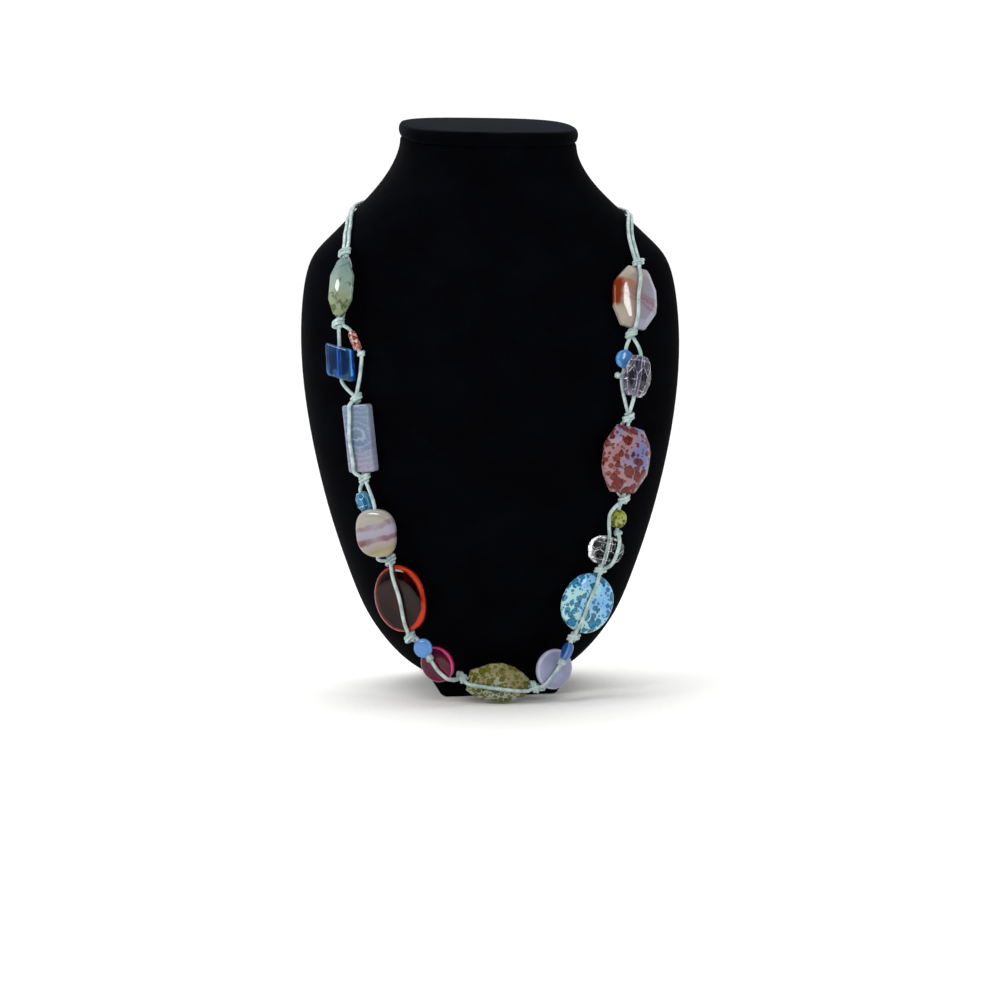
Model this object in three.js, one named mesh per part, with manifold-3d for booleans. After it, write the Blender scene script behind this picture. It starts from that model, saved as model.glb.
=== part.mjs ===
// A beaded necklace on a plain velvet neck bust.
// Two thin cords run side by side through one loop. Knots join them in pairs, and between the knots
// one cord threads a large bead while the other crosses in front of it, runs behind it or carries a
// smaller bead. Millimetres, +Z up, the bust faces -Y, and the foot stands on z = 0.

import * as THREE from 'three';
import { mergeVertices } from 'three/addons/utils/BufferGeometryUtils.js';
import Module from 'manifold-3d';

const wasm = await Module();
wasm.setup();

// Bust
const BODY_WIDTH = 196.6; // across the chest
const BODY_FRONT = 72; // from the neck's axis to the front of the chest
const BODY_BACK = 40; // from the neck's axis to the flat back
const BODY_HEIGHT = 276.7; // from the body's flat underside to the neck's top
const NECK_WIDTH = 90;
const FOOT_WIDTH = 62;
const FOOT_FRONT = 41.7; // from the neck's axis to the foot's front
const FOOT_BACK = 46;
const FOOT_HEIGHT = 6;
const FOOT_EDGE = 4; // radius of the foot's two lower edges
const CAP_THICKNESS = 7;
const CAP_OVERHANG = 1;
const CAP_EDGE = 2.2; // how far the cap's rim rounds inwards
const CAP_LEAN = THREE.MathUtils.degToRad(10.3); // the neck's top leans to the front

// Cord and knots
const CORD = 1.8; // diameter of each of the two cords
const CORD_SPREAD = 2.3; // between the middles of the two cords where they lie side by side
const KNOT_WIDTH = 6.4; // a knot tied with both cords
const KNOT_LENGTH = 4.6;
const STOP_WIDTH = 4.3; // a small knot tied with one cord
const STOP_LENGTH = 3.6;
const GAP = 0.3; // between neighbouring pieces
const CROSS_GAP = 0.5; // between a bead and the cord that crosses it
const SKIN_GAP = 2 * GAP; // between the shoulder and the cords drawn over it
const HOLE = CORD + 2 * GAP; // diameter of the hole through each bead

// Mesh density
const BODY_SIDES = 36;
const CORD_SIDES = 8;
const KNOT_SIDES = 8;
const HOLE_SIDES = 8;
const CORD_STEP = 3 * CORD; // length of one step of a cord's tube
const LAY_SAMPLES = 240;

// Cross-sections of the body, from its underside to the top of the neck. height is a share of
// BODY_HEIGHT. The half width adds a share of half the foot's, the chest's and the neck's width.
// widest is where the section is widest, and front is its front, as shares of BODY_FRONT. back is
// a share of BODY_BACK, and lean is the share of the cap's lean that the section takes.
const BODY_SECTIONS = [
  { height: 0.0, foot: 0.97, chest: 0.0, neck: 0.0, widest: 0.0, front: 0.53, back: 0.85, lean: 0 },
  { height: 0.011, foot: 0.6, chest: 0.2, neck: 0.0, widest: 0.0, front: 0.61, back: 0.93, lean: 0 },
  { height: 0.033, foot: 0.3, chest: 0.38, neck: 0.0, widest: 0.01, front: 0.69, back: 0.96, lean: 0 },
  { height: 0.068, foot: 0.0, chest: 0.565, neck: 0.0, widest: 0.04, front: 0.79, back: 0.98, lean: 0 },
  { height: 0.118, foot: 0.0, chest: 0.66, neck: 0.0, widest: 0.09, front: 0.88, back: 1.0, lean: 0 },
  { height: 0.176, foot: 0.0, chest: 0.728, neck: 0.0, widest: 0.11, front: 0.945, back: 1.0, lean: 0 },
  { height: 0.288, foot: 0.0, chest: 0.838, neck: 0.0, widest: 0.14, front: 0.99, back: 1.0, lean: 0 },
  { height: 0.404, foot: 0.0, chest: 0.921, neck: 0.0, widest: 0.165, front: 1.0, back: 1.0, lean: 0 },
  { height: 0.52, foot: 0.0, chest: 0.979, neck: 0.0, widest: 0.165, front: 0.965, back: 1.0, lean: 0 },
  { height: 0.628, foot: 0.0, chest: 1.0, neck: 0.0, widest: 0.15, front: 0.905, back: 1.0, lean: 0 },
  { height: 0.718, foot: 0.0, chest: 0.982, neck: 0.0, widest: 0.125, front: 0.825, back: 1.0, lean: 0 },
  { height: 0.765, foot: 0.0, chest: 0.952, neck: 0.0, widest: 0.11, front: 0.775, back: 1.0, lean: 0 },
  { height: 0.794, foot: 0.0, chest: 0.82, neck: 0.193, widest: 0.1, front: 0.74, back: 1.0, lean: 0 },
  { height: 0.83, foot: 0.0, chest: 0.55, neck: 0.54, widest: 0.09, front: 0.7, back: 1.0, lean: 0.1 },
  { height: 0.866, foot: 0.0, chest: 0.38, neck: 0.7, widest: 0.08, front: 0.66, back: 1.0, lean: 0.3 },
  { height: 0.902, foot: 0.0, chest: 0.2, neck: 0.864, widest: 0.06, front: 0.625, back: 1.0, lean: 0.55 },
  { height: 0.938, foot: 0.0, chest: 0.07, neck: 0.964, widest: 0.04, front: 0.6, back: 1.0, lean: 0.8 },
  { height: 0.975, foot: 0.0, chest: 0.0, neck: 1.005, widest: 0.02, front: 0.585, back: 0.98, lean: 1 },
  { height: 1.0, foot: 0.0, chest: 0.0, neck: 0.995, widest: 0.015, front: 0.58, back: 0.975, lean: 1 },
];
const FRONT_ROUND = 2.6; // superellipse exponents of the sections
const BACK_ROUND = 3;

// The necklace's lay on the chest, chosen by hand: two lists that start at the lowest bead's middle
// and climb to the shoulders. across is a share of half the chest's width, height is a share of
// BODY_HEIGHT above the underside, and clear is how far in front of the chest the strand hangs
// free, as a share of BODY_FRONT.
const LEFT_LAY = [
  { across: -0.04, height: 0.0165, clear: 0.2 },
  { across: -0.23, height: 0.0258, clear: 0.215 },
  { across: -0.367, height: 0.0581, clear: 0.205 },
  { across: -0.467, height: 0.1098, clear: 0.13 },
  { across: -0.513, height: 0.1753, clear: 0.055 },
  { across: -0.576, height: 0.2366, clear: 0.02 },
  { across: -0.648, height: 0.3063, clear: 0 },
  { across: -0.701, height: 0.3878, clear: 0 },
  { across: -0.71, height: 0.4557, clear: 0 },
  { across: -0.744, height: 0.5261, clear: 0 },
  { across: -0.767, height: 0.6009, clear: 0 },
  { across: -0.774, height: 0.6647, clear: 0 },
  { across: -0.773, height: 0.7215, clear: 0 },
  { across: -0.742, height: 0.7778, clear: 0 },
];
const RIGHT_LAY = [
  { across: -0.04, height: 0.0165, clear: 0.2 },
  { across: 0.152, height: 0.0099, clear: 0.215 },
  { across: 0.264, height: 0.0484, clear: 0.19 },
  { across: 0.34, height: 0.1015, clear: 0.125 },
  { across: 0.397, height: 0.1616, clear: 0.05 },
  { across: 0.472, height: 0.2151, clear: 0.02 },
  { across: 0.523, height: 0.2923, clear: 0 },
  { across: 0.539, height: 0.3521, clear: 0 },
  { across: 0.575, height: 0.4214, clear: 0 },
  { across: 0.572, height: 0.49, clear: 0 },
  { across: 0.605, height: 0.5717, clear: 0 },
  { across: 0.643, height: 0.6449, clear: 0 },
  { across: 0.655, height: 0.7023, clear: 0 },
  { across: 0.69, height: 0.7658, clear: 0 },
];
// From the last knot over the shoulder and round the nape. turn is the angle in degrees round the
// body, from the front over the side to the back, and height is a share of BODY_HEIGHT.
const LEFT_SHOULDER = [
  { turn: 55.5, height: 0.801 },
  { turn: 61, height: 0.816 },
  { turn: 67, height: 0.831 },
  { turn: 75, height: 0.845 },
  { turn: 83, height: 0.856 },
  { turn: 90, height: 0.863 },
];
const RIGHT_SHOULDER = [
  { turn: 43, height: 0.792 },
  { turn: 47, height: 0.811 },
  { turn: 53.4, height: 0.829 },
  { turn: 60, height: 0.842 },
  { turn: 68, height: 0.852 },
  { turn: 79, height: 0.859 },
  { turn: 90, height: 0.863 },
];
const NAPE_LAY = [
  { turn: 90, height: 0.863 },
  { turn: 97, height: 0.866 },
  { turn: 105, height: 0.869 },
  { turn: 115, height: 0.873 },
  { turn: 126, height: 0.878 },
  { turn: 139, height: 0.883 },
  { turn: 153, height: 0.888 },
  { turn: 168, height: 0.892 },
];

// Beads. width, length and thickness are real sizes, and the length lies along the cord.
// shape names the function that makes it.
const BEADS = {
  green_faceted_bead: { shape: cutBead, width: 13, length: 29.4, thickness: 9, table: 0.5, round: 2 },
  small_mottled_bead: { shape: barrelBead, width: 4, length: 9.5, thickness: 4 },
  blue_slab_bead: { shape: slabBead, width: 13.5, length: 16, thickness: 5.5, corner: 1.2 },
  lace_bar_bead: { shape: slabBead, width: 14, length: 33.2, thickness: 6, corner: 1.5 },
  aqua_faceted_bead: { shape: nuggetBead, width: 7.2, length: 9.7, thickness: 7.2 },
  banded_pebble_bead: { shape: pebbleBead, width: 20.4, length: 24, thickness: 7, round: 2.4, sides: 16 },
  red_oval_bead: { shape: pebbleBead, width: 27.4, length: 33.2, thickness: 7, round: 2.15, sides: 16 },
  blue_coin_bead: { shape: pebbleBead, width: 9.5, length: 9.5, thickness: 4.2, round: 2, sides: 12 },
  magenta_disc_bead: { shape: pebbleBead, width: 17, length: 18.6, thickness: 5.4, round: 2, sides: 14 },
  olive_faceted_bead: { shape: cutBead, width: 19.6, length: 31, thickness: 8, table: 0.6, round: 2.4 },
  lilac_disc_bead: { shape: pebbleBead, width: 20, length: 20.4, thickness: 5.4, round: 2, sides: 14 },
  navy_coin_bead: { shape: pebbleBead, width: 9.4, length: 9.4, thickness: 4.2, round: 2, sides: 12 },
  sky_spotted_bead: { shape: pebbleBead, width: 27, length: 30.4, thickness: 7, round: 2.1, sides: 16 },
  clear_rondelle_bead: { shape: nuggetBead, width: 20, length: 13.4, thickness: 9 },
  green_coin_bead: { shape: pebbleBead, width: 9.6, length: 9.6, thickness: 4.2, round: 2, sides: 12 },
  red_spotted_bead: { shape: cutBead, width: 25, length: 34.4, thickness: 8, table: 0.6, round: 2.5 },
  smoky_faceted_bead: { shape: nuggetBead, width: 13.5, length: 20, thickness: 10 },
  pale_blue_coin_bead: { shape: pebbleBead, width: 9.5, length: 9.5, thickness: 4.2, round: 2, sides: 12 },
  pink_banded_bead: { shape: cutBead, width: 23, length: 31, thickness: 8, table: 0.6, round: 2.6 },
};
const COLOURS = {
  green_faceted_bead: 0xa8bdb0,
  small_mottled_bead: 0xc89a90,
  blue_slab_bead: 0x2a6fa8,
  lace_bar_bead: 0x8c9db5,
  aqua_faceted_bead: 0x3aa0cc,
  banded_pebble_bead: 0xd8cdbe,
  red_oval_bead: 0xa83424,
  blue_coin_bead: 0x6fa6e4,
  magenta_disc_bead: 0xc03a62,
  olive_faceted_bead: 0x9a9a5a,
  lilac_disc_bead: 0x9a98b8,
  navy_coin_bead: 0x2a5a9c,
  sky_spotted_bead: 0x8fc4e8,
  clear_rondelle_bead: 0xc4d0d8,
  green_coin_bead: 0xa0a03c,
  red_spotted_bead: 0xb86a62,
  smoky_faceted_bead: 0x6a6078,
  pale_blue_coin_bead: 0x5aa0e4,
  pink_banded_bead: 0xd0a090,
};

// The order of beads from the lowest one up each side. A held bead sits between two knots that
// touch it, and its second cord crosses in front of it or runs behind it. cross holds how far to
// the inside of the loop that cord runs at the bead's lower end, middle and upper end, in shares
// of its width. A run is the stretch from one knot's middle to the next, in millimetres, with its
// two cords apart. Beads, stops and passes on it say which cord they are on. up is a share of the
// run, in is how far to the inside of the loop, turn and roll are in degrees, and lift is an extra
// distance off the chest. A stop or pass that lies over or under a bead has at instead, a share of
// the bead's half length from its middle, and its in counts from the bead's middle.
const LOWEST = { bead: 'olive_faceted_bead', cross: [-0.12, -0.13, -0.1], turn: 2 };
const LEFT_ORDER = [
  {
    run: 34.9,
    beads: [
      { bead: 'magenta_disc_bead', up: 0.434, in: 1, cord: 'back' },
      { bead: 'blue_coin_bead', up: 0.76, in: 3.2, lift: 4.9, cord: 'front' },
    ],
    stops: [{ over: 'magenta_disc_bead', at: 0.44, in: 1.4, cord: 'front' }],
    passes: [
      { over: 'magenta_disc_bead', at: -1.04, in: 0, cord: 'front' },
      { over: 'magenta_disc_bead', at: -0.8, in: 0, cord: 'front' },
      { over: 'magenta_disc_bead', at: -0.3, in: -0.4, cord: 'front' },
    ],
  },
  { bead: 'red_oval_bead', cross: [0.04, 0.085, 0.04], lift: 1 },
  {
    run: 43.2,
    beads: [
      { bead: 'banded_pebble_bead', up: 0.353, in: 2.4, lift: 4.6, turn: 20, cord: 'front' },
      { bead: 'aqua_faceted_bead', up: 0.725, in: -0.9, turn: -6, cord: 'back' },
    ],
    stops: [{ up: 0.562, in: -3.2, lift: 0.6, cord: 'back' }],
    passes: [
      { under: 'banded_pebble_bead', at: -0.7, in: 0.5, cord: 'back' },
      { under: 'banded_pebble_bead', at: 0.3, in: -4, cord: 'back' },
      { up: 0.78, in: 4.6, lift: 2.5, cord: 'front' },
    ],
  },
  { bead: 'lace_bar_bead', cross: [-0.22, -0.27, -0.14] },
  {
    run: 36.8,
    beads: [
      { bead: 'blue_slab_bead', up: 0.5, in: -3.6, turn: 3, cord: 'back' },
      { bead: 'small_mottled_bead', up: 0.775, in: 3.4, turn: -22, lift: 0.5, cord: 'front' },
    ],
    stops: [{ up: 0.6, in: 5.8, cord: 'front' }],
    passes: [{ up: 0.36, in: 4.9, lift: 2, cord: 'front' }],
  },
  { bead: 'green_faceted_bead', behind: true, turn: 2 },
];
const RIGHT_ORDER = [
  {
    run: 34.6,
    beads: [
      { bead: 'lilac_disc_bead', up: 0.43, in: 0.7, cord: 'back' },
      { bead: 'navy_coin_bead', up: 0.765, in: 3.9, lift: 6.4, roll: 78, cord: 'front' },
    ],
    stops: [{ over: 'lilac_disc_bead', at: 0.4, in: 0.8, cord: 'front' }],
    passes: [
      { over: 'lilac_disc_bead', at: -1.04, in: 2.6, cord: 'front' },
      { over: 'lilac_disc_bead', at: -0.8, in: 2.2, cord: 'front' },
      { over: 'lilac_disc_bead', at: -0.3, in: 1.1, cord: 'front' },
      { up: 0.8, in: 0.5, lift: 1.1, cord: 'back' },
    ],
  },
  { bead: 'sky_spotted_bead', cross: [0.06, 0.08, 0.06], turn: 3 },
  {
    run: 36.9,
    beads: [
      { bead: 'clear_rondelle_bead', up: 0.28, in: 2, cord: 'back' },
      { bead: 'green_coin_bead', up: 0.71, in: -3.2, cord: 'front' },
    ],
    stops: [{ up: 0.535, in: -2.6, lift: 2.2, cord: 'front' }],
    passes: [
      { over: 'clear_rondelle_bead', at: -1, in: -2.2, cord: 'front' },
      { over: 'clear_rondelle_bead', at: -0.5, in: -2.5, cord: 'front' },
      { over: 'clear_rondelle_bead', at: 0, in: -2.8, cord: 'front' },
      { over: 'clear_rondelle_bead', at: 0.5, in: -3.4, cord: 'front' },
      { over: 'clear_rondelle_bead', at: 1, in: -4, cord: 'front' },
      { up: 0.6, in: 4.2, lift: 2.2, cord: 'back' },
      { up: 0.78, in: 4.9, lift: 2.2, cord: 'back' },
    ],
  },
  { bead: 'red_spotted_bead', behind: true },
  {
    run: 42.1,
    beads: [
      { bead: 'smoky_faceted_bead', up: 0.49, in: -2.8, turn: 2, lift: 3.4, cord: 'back' },
      { bead: 'pale_blue_coin_bead', up: 0.69, in: 1.6, turn: -4, cord: 'front' },
    ],
    stops: [{ up: 0.49, in: 3.6, cord: 'front' }],
    passes: [{ up: 0.34, in: 3.6, lift: 1, cord: 'front' }],
  },
  { bead: 'pink_banded_bead', cross: [-0.01, 0.045, 0.035] },
];

const LEFT = -1;
const RIGHT = 1;
const BASE = FOOT_HEIGHT + GAP; // height of the body's underside
const CLOSE = 1e-3; // vertices nearer than this are one

// Solids

function asMesh(geometry, name, colour, roughness) {
  const material = new THREE.MeshStandardMaterial({ color: colour, roughness, metalness: 0 });
  const mesh = new THREE.Mesh(geometry, material);
  mesh.name = name;
  return mesh;
}

function toSolid(geometry) {
  const bare = geometry.clone();
  bare.deleteAttribute('normal');
  bare.deleteAttribute('uv');
  const merged = mergeVertices(bare, CLOSE);
  const mesh = new wasm.Mesh({
    numProp: 3,
    vertProperties: new Float32Array(merged.attributes.position.array),
    triVerts: new Uint32Array(merged.index.array),
  });
  return new wasm.Manifold(mesh);
}

function toGeometry(solid) {
  const mesh = solid.getMesh();
  const geometry = new THREE.BufferGeometry();
  geometry.setAttribute('position', new THREE.BufferAttribute(mesh.vertProperties, mesh.numProp));
  geometry.setIndex(new THREE.BufferAttribute(mesh.triVerts, 1));
  geometry.computeVertexNormals();
  return geometry;
}

function fuse(geometries) {
  const solids = geometries.map(toSolid);
  return toGeometry(solids.reduce((whole, solid) => whole.add(solid)));
}

// A closed skin over rings of equally many points, listed from the bottom up, each ring running
// anticlockwise seen from above.
function loft(rings) {
  const sides = rings[0].length;
  const points = rings.flat();
  const index = [];
  for (let ring = 0; ring + 1 < rings.length; ring += 1) {
    for (let side = 0; side < sides; side += 1) {
      const next = (side + 1) % sides;
      const low = ring * sides;
      const high = low + sides;
      index.push(low + side, low + next, high + next);
      index.push(low + side, high + next, high + side);
    }
  }
  const top = (rings.length - 1) * sides;
  for (let side = 1; side + 1 < sides; side += 1) {
    index.push(0, side + 1, side);
    index.push(top, top + side, top + side + 1);
  }
  const geometry = new THREE.BufferGeometry();
  const flat = points.flatMap((point) => [point.x, point.y, point.z]);
  geometry.setAttribute('position', new THREE.Float32BufferAttribute(flat, 3));
  geometry.setIndex(index);
  geometry.computeVertexNormals();
  return geometry;
}

function signedPower(value, exponent) {
  return Math.sign(value) * Math.abs(value) ** exponent;
}

// Bead shapes. Each lies with its hole along Z, its width along X and its front to -Y.

// Rings stacked from back to front over an outline, by rows of its scale and depth.
function stackedBead(size, outline, rows) {
  const rings = rows.map(({ scale, depth }) => outline.map(([x, z]) => new THREE.Vector3(
    x * scale,
    depth * size.thickness / 2,
    z * scale,
  )));
  return loft(rings);
}

function roundOutline(size, sides, round, startShare = 0) {
  const outline = [];
  for (let side = 0; side < sides; side += 1) {
    const angle = ((side + startShare) / sides) * 2 * Math.PI;
    outline.push([
      (size.width / 2) * signedPower(Math.cos(angle), 2 / round),
      (size.length / 2) * signedPower(Math.sin(angle), 2 / round),
    ]);
  }
  return outline;
}

const CUT_SIDES = 12;
const CUT_GIRDLE = 0.3; // thickness of the girdle as a share of the bead's
function cutBead(size) {
  return stackedBead(size, roundOutline(size, CUT_SIDES, size.round, 0.5), [
    { scale: size.table, depth: 1 },
    { scale: 1, depth: CUT_GIRDLE },
    { scale: 1, depth: -CUT_GIRDLE },
    { scale: size.table, depth: -1 },
  ]);
}

function pebbleBead(size) {
  return stackedBead(size, roundOutline(size, size.sides, size.round), [
    { scale: 0.5, depth: 1 },
    { scale: 0.86, depth: 0.7 },
    { scale: 1, depth: 0.2 },
    { scale: 1, depth: -0.2 },
    { scale: 0.86, depth: -0.7 },
    { scale: 0.5, depth: -1 },
  ]);
}

const SLAB_CORNER_POINTS = 3;
function slabBead(size) {
  const outline = [];
  const corners = [[1, 1], [-1, 1], [-1, -1], [1, -1]];
  corners.forEach(([right, up], corner) => {
    for (let point = 0; point < SLAB_CORNER_POINTS; point += 1) {
      const angle = (corner + point / (SLAB_CORNER_POINTS - 1)) * (Math.PI / 2);
      outline.push([
        right * (size.width / 2 - size.corner) + size.corner * Math.cos(angle),
        up * (size.length / 2 - size.corner) + size.corner * Math.sin(angle),
      ]);
    }
  });
  return stackedBead(size, outline, [
    { scale: 0.93, depth: 1 },
    { scale: 1, depth: 0.7 },
    { scale: 1, depth: -0.7 },
    { scale: 0.93, depth: -1 },
  ]);
}

// Rings stacked along the hole, by rows of their height and scale.
function turnedBead(size, sides, rows) {
  const rings = rows.map(({ height, scale }) => {
    const ring = [];
    for (let side = 0; side < sides; side += 1) {
      const angle = ((side + 0.5) / sides) * 2 * Math.PI;
      ring.push(new THREE.Vector3(
        (size.width / 2) * scale * Math.cos(angle),
        (size.thickness / 2) * scale * Math.sin(angle),
        (size.length / 2) * height,
      ));
    }
    return ring;
  });
  return loft(rings);
}

const NUGGET_SIDES = 10;
function nuggetBead(size) {
  return turnedBead(size, NUGGET_SIDES, [
    { height: -1, scale: 0.5 },
    { height: -0.45, scale: 0.96 },
    { height: 0, scale: 1.05 },
    { height: 0.45, scale: 0.96 },
    { height: 1, scale: 0.5 },
  ]);
}

const BARREL_SIDES = 10;
function barrelBead(size) {
  return turnedBead(size, BARREL_SIDES, [
    { height: -1, scale: 0.82 },
    { height: -0.86, scale: 1 },
    { height: 0.86, scale: 1 },
    { height: 1, scale: 0.82 },
  ]);
}

function cylinderAlongZ(radius, length, sides) {
  return new THREE.CylinderGeometry(radius, radius, length, sides).rotateX(Math.PI / 2);
}

function drilled(geometry, length) {
  const holeRadius = HOLE / 2 / Math.cos(Math.PI / HOLE_SIDES);
  const hole = cylinderAlongZ(holeRadius, length + 4 * GAP, HOLE_SIDES);
  return toGeometry(toSolid(geometry).subtract(toSolid(hole)));
}

// Bust

function mixed(low, high, share, key) {
  return low[key] + (high[key] - low[key]) * share;
}

// The body's section at a share of its height, in millimetres.
function sectionAt(height) {
  let upper = BODY_SECTIONS.findIndex((row) => row.height >= height);
  if (upper < 0) upper = BODY_SECTIONS.length - 1;
  if (upper === 0) upper = 1;
  const low = BODY_SECTIONS[upper - 1];
  const high = BODY_SECTIONS[upper];
  const share = (height - low.height) / (high.height - low.height);
  const take = (key) => mixed(low, high, share, key);
  return {
    half: (take('foot') * FOOT_WIDTH + take('chest') * BODY_WIDTH + take('neck') * NECK_WIDTH) / 2,
    widest: -take('widest') * BODY_FRONT,
    front: -take('front') * BODY_FRONT,
    back: take('back') * BODY_BACK,
    lean: take('lean') * Math.tan(CAP_LEAN),
  };
}

// A point of the body's skin: turn in radians from the front towards +X, height as a share.
function bodyPoint(turn, height) {
  const section = sectionAt(height);
  const forward = Math.cos(turn);
  const round = forward > 0 ? FRONT_ROUND : BACK_ROUND;
  const reach = forward > 0 ? section.front : section.back;
  const x = section.half * signedPower(Math.sin(turn), 2 / round);
  const y = section.widest + (reach - section.widest) * Math.abs(forward) ** (2 / round);
  return new THREE.Vector3(x, y, BASE + height * BODY_HEIGHT + y * section.lean);
}

// The chest's front above a place in the front view, where the section doesn't lean.
function chestPoint(x, z) {
  const section = sectionAt((z - BASE) / BODY_HEIGHT);
  const share = Math.min(Math.abs(x) / section.half, 1);
  const reach = (1 - share ** FRONT_ROUND) ** (1 / FRONT_ROUND);
  return new THREE.Vector3(x, section.widest + (section.front - section.widest) * reach, z);
}

function bustBody() {
  const rings = BODY_SECTIONS.map((row) => {
    const ring = [];
    for (let side = 0; side < BODY_SIDES; side += 1) {
      ring.push(bodyPoint((side / BODY_SIDES) * 2 * Math.PI, row.height));
    }
    return ring;
  });
  return loft(rings);
}

function neckCap() {
  const neck = sectionAt(1);
  const rows = [
    { rise: 0, inset: CAP_OVERHANG },
    { rise: 0.28, inset: 0 },
    { rise: 0.6, inset: 0 },
    { rise: 0.88, inset: CAP_EDGE * 0.4 },
    { rise: 1, inset: CAP_EDGE },
  ];
  const rings = rows.map(({ rise, inset }) => {
    const ring = [];
    for (let side = 0; side < BODY_SIDES; side += 1) {
      const turn = (side / BODY_SIDES) * 2 * Math.PI;
      const rim = bodyPoint(turn, 1);
      const middle = new THREE.Vector2(0, neck.widest);
      const spoke = new THREE.Vector2(rim.x, rim.y / Math.cos(CAP_LEAN)).sub(middle);
      spoke.setLength(spoke.length() + CAP_OVERHANG - inset).add(middle);
      ring.push(new THREE.Vector3(spoke.x, spoke.y, rise * CAP_THICKNESS));
    }
    return ring;
  });
  const cap = asMesh(loft(rings), 'neck_cap', 0x15171c, 0.95);
  cap.position.z = BASE + BODY_HEIGHT + GAP;
  cap.rotation.x = CAP_LEAN;
  return cap;
}

function bustFoot() {
  const half = FOOT_WIDTH / 2;
  const outline = new THREE.Shape();
  outline.moveTo(-half + FOOT_EDGE, 0);
  outline.lineTo(half - FOOT_EDGE, 0);
  outline.absarc(half - FOOT_EDGE, FOOT_EDGE, FOOT_EDGE, -Math.PI / 2, 0, false);
  outline.lineTo(half, FOOT_HEIGHT);
  outline.lineTo(-half, FOOT_HEIGHT);
  outline.absarc(-half + FOOT_EDGE, FOOT_EDGE, FOOT_EDGE, Math.PI, 1.5 * Math.PI, false);
  const depth = FOOT_FRONT + FOOT_BACK;
  const slab = new THREE.ExtrudeGeometry(outline, { depth, bevelEnabled: false, curveSegments: 4 });
  slab.rotateX(Math.PI / 2);
  const foot = asMesh(slab, 'bust_foot', 0x0a0b0e, 0.95);
  foot.position.y = FOOT_BACK;
  return foot;
}

// The necklace's lay

function frameFrom(point, along, outward) {
  const up = along.clone().addScaledVector(outward, -along.dot(outward)).normalize();
  const across = new THREE.Vector3().crossVectors(up, outward);
  return { point, up, across, outward };
}

const SKIN_STEP = 3; // how far apart the skin is measured for its slope
function chestNormal(x, z, hang) {
  const step = SKIN_STEP;
  const slopeX = (chestPoint(x + step, z).y - chestPoint(x - step, z).y) / (2 * step);
  const slopeZ = (chestPoint(x, z + step).y - chestPoint(x, z - step).y) / (2 * step);
  return new THREE.Vector3(slopeX, -1, slopeZ * (1 - hang)).normalize();
}

const FREE_HANG = 0.05; // a strand that clears the chest by this share of its front hangs upright
const CHAIN_LIFT = 4; // height off the chest at which the strand's length is measured

// One side's lay, as a table of stations along the strand.
function makeLay(side, rows) {
  const points = rows.map(({ across, height, clear }) => new THREE.Vector3(
    across * BODY_WIDTH / 2,
    clear * BODY_FRONT,
    BASE + height * BODY_HEIGHT,
  ));
  const curve = new THREE.CatmullRomCurve3(points);
  const stations = [];
  let length = 0;
  for (let sample = 0; sample <= LAY_SAMPLES; sample += 1) {
    const { x, y: clear, z } = curve.getPoint(sample / LAY_SAMPLES);
    const outward = chestNormal(x, z, Math.min(1, clear / BODY_FRONT / FREE_HANG));
    const point = chestPoint(x, z).addScaledVector(outward, CHAIN_LIFT);
    point.y -= clear;
    if (sample > 0) length += point.distanceTo(stations[sample - 1].point);
    stations.push({ length, x, z, clear, point });
  }
  return { side, stations };
}

// The frame at a station, moved to the inside of the loop and lifted off the chest.
function layFrame(lay, station, inward, lift) {
  const last = lay.stations.length - 1;
  let index = lay.stations.findIndex((entry) => entry.length >= station);
  if (index < 0) index = last;
  index = Math.max(index, 1);
  const low = lay.stations[index - 1];
  const high = lay.stations[index];
  const share = (station - low.length) / (high.length - low.length);
  const heading = new THREE.Vector2(high.x - low.x, high.z - low.z).normalize();
  const x = mixed(low, high, share, 'x') - lay.side * heading.y * inward;
  const z = mixed(low, high, share, 'z') + lay.side * heading.x * inward;
  const clear = mixed(low, high, share, 'clear');
  const outward = chestNormal(x, z, Math.min(1, clear / BODY_FRONT / FREE_HANG));
  const point = chestPoint(x, z).addScaledVector(outward, lift);
  point.y -= clear;
  return frameFrom(point, high.point.clone().sub(low.point), outward);
}

// A place in a frame: to the inside of the loop, up along the strand and out from the chest.
function placeIn(frame, side, inward, up, outward) {
  return frame.point.clone()
    .addScaledVector(frame.across, -side * inward)
    .addScaledVector(frame.up, up)
    .addScaledVector(frame.outward, outward);
}

function turned(frame, turn, roll) {
  const up = frame.up.clone().applyAxisAngle(frame.outward, THREE.MathUtils.degToRad(-turn));
  const outward = frame.outward.clone().applyAxisAngle(up, THREE.MathUtils.degToRad(roll));
  return frameFrom(frame.point, up, outward);
}

// Cords

// A path whose steps end exactly at its points.
class StepPath extends THREE.Curve {
  constructor(points) {
    super();
    this.points = points;
  }

  getPoint(share, target = new THREE.Vector3()) {
    const place = share * (this.points.length - 1);
    const low = Math.min(Math.floor(place), this.points.length - 2);
    return target.lerpVectors(this.points[low], this.points[low + 1], place - low);
  }

  getPointAt(share, target) {
    return this.getPoint(share, target);
  }

  getTangentAt(share, target = new THREE.Vector3()) {
    const place = Math.round(share * (this.points.length - 1));
    const before = this.points[Math.max(place - 1, 0)];
    const here = this.points[place];
    const after = this.points[Math.min(place + 1, this.points.length - 1)];
    const arriving = here.clone().sub(before).normalize();
    const leaving = after.clone().sub(here).normalize();
    return target.addVectors(arriving, leaving).normalize();
  }
}

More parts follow.
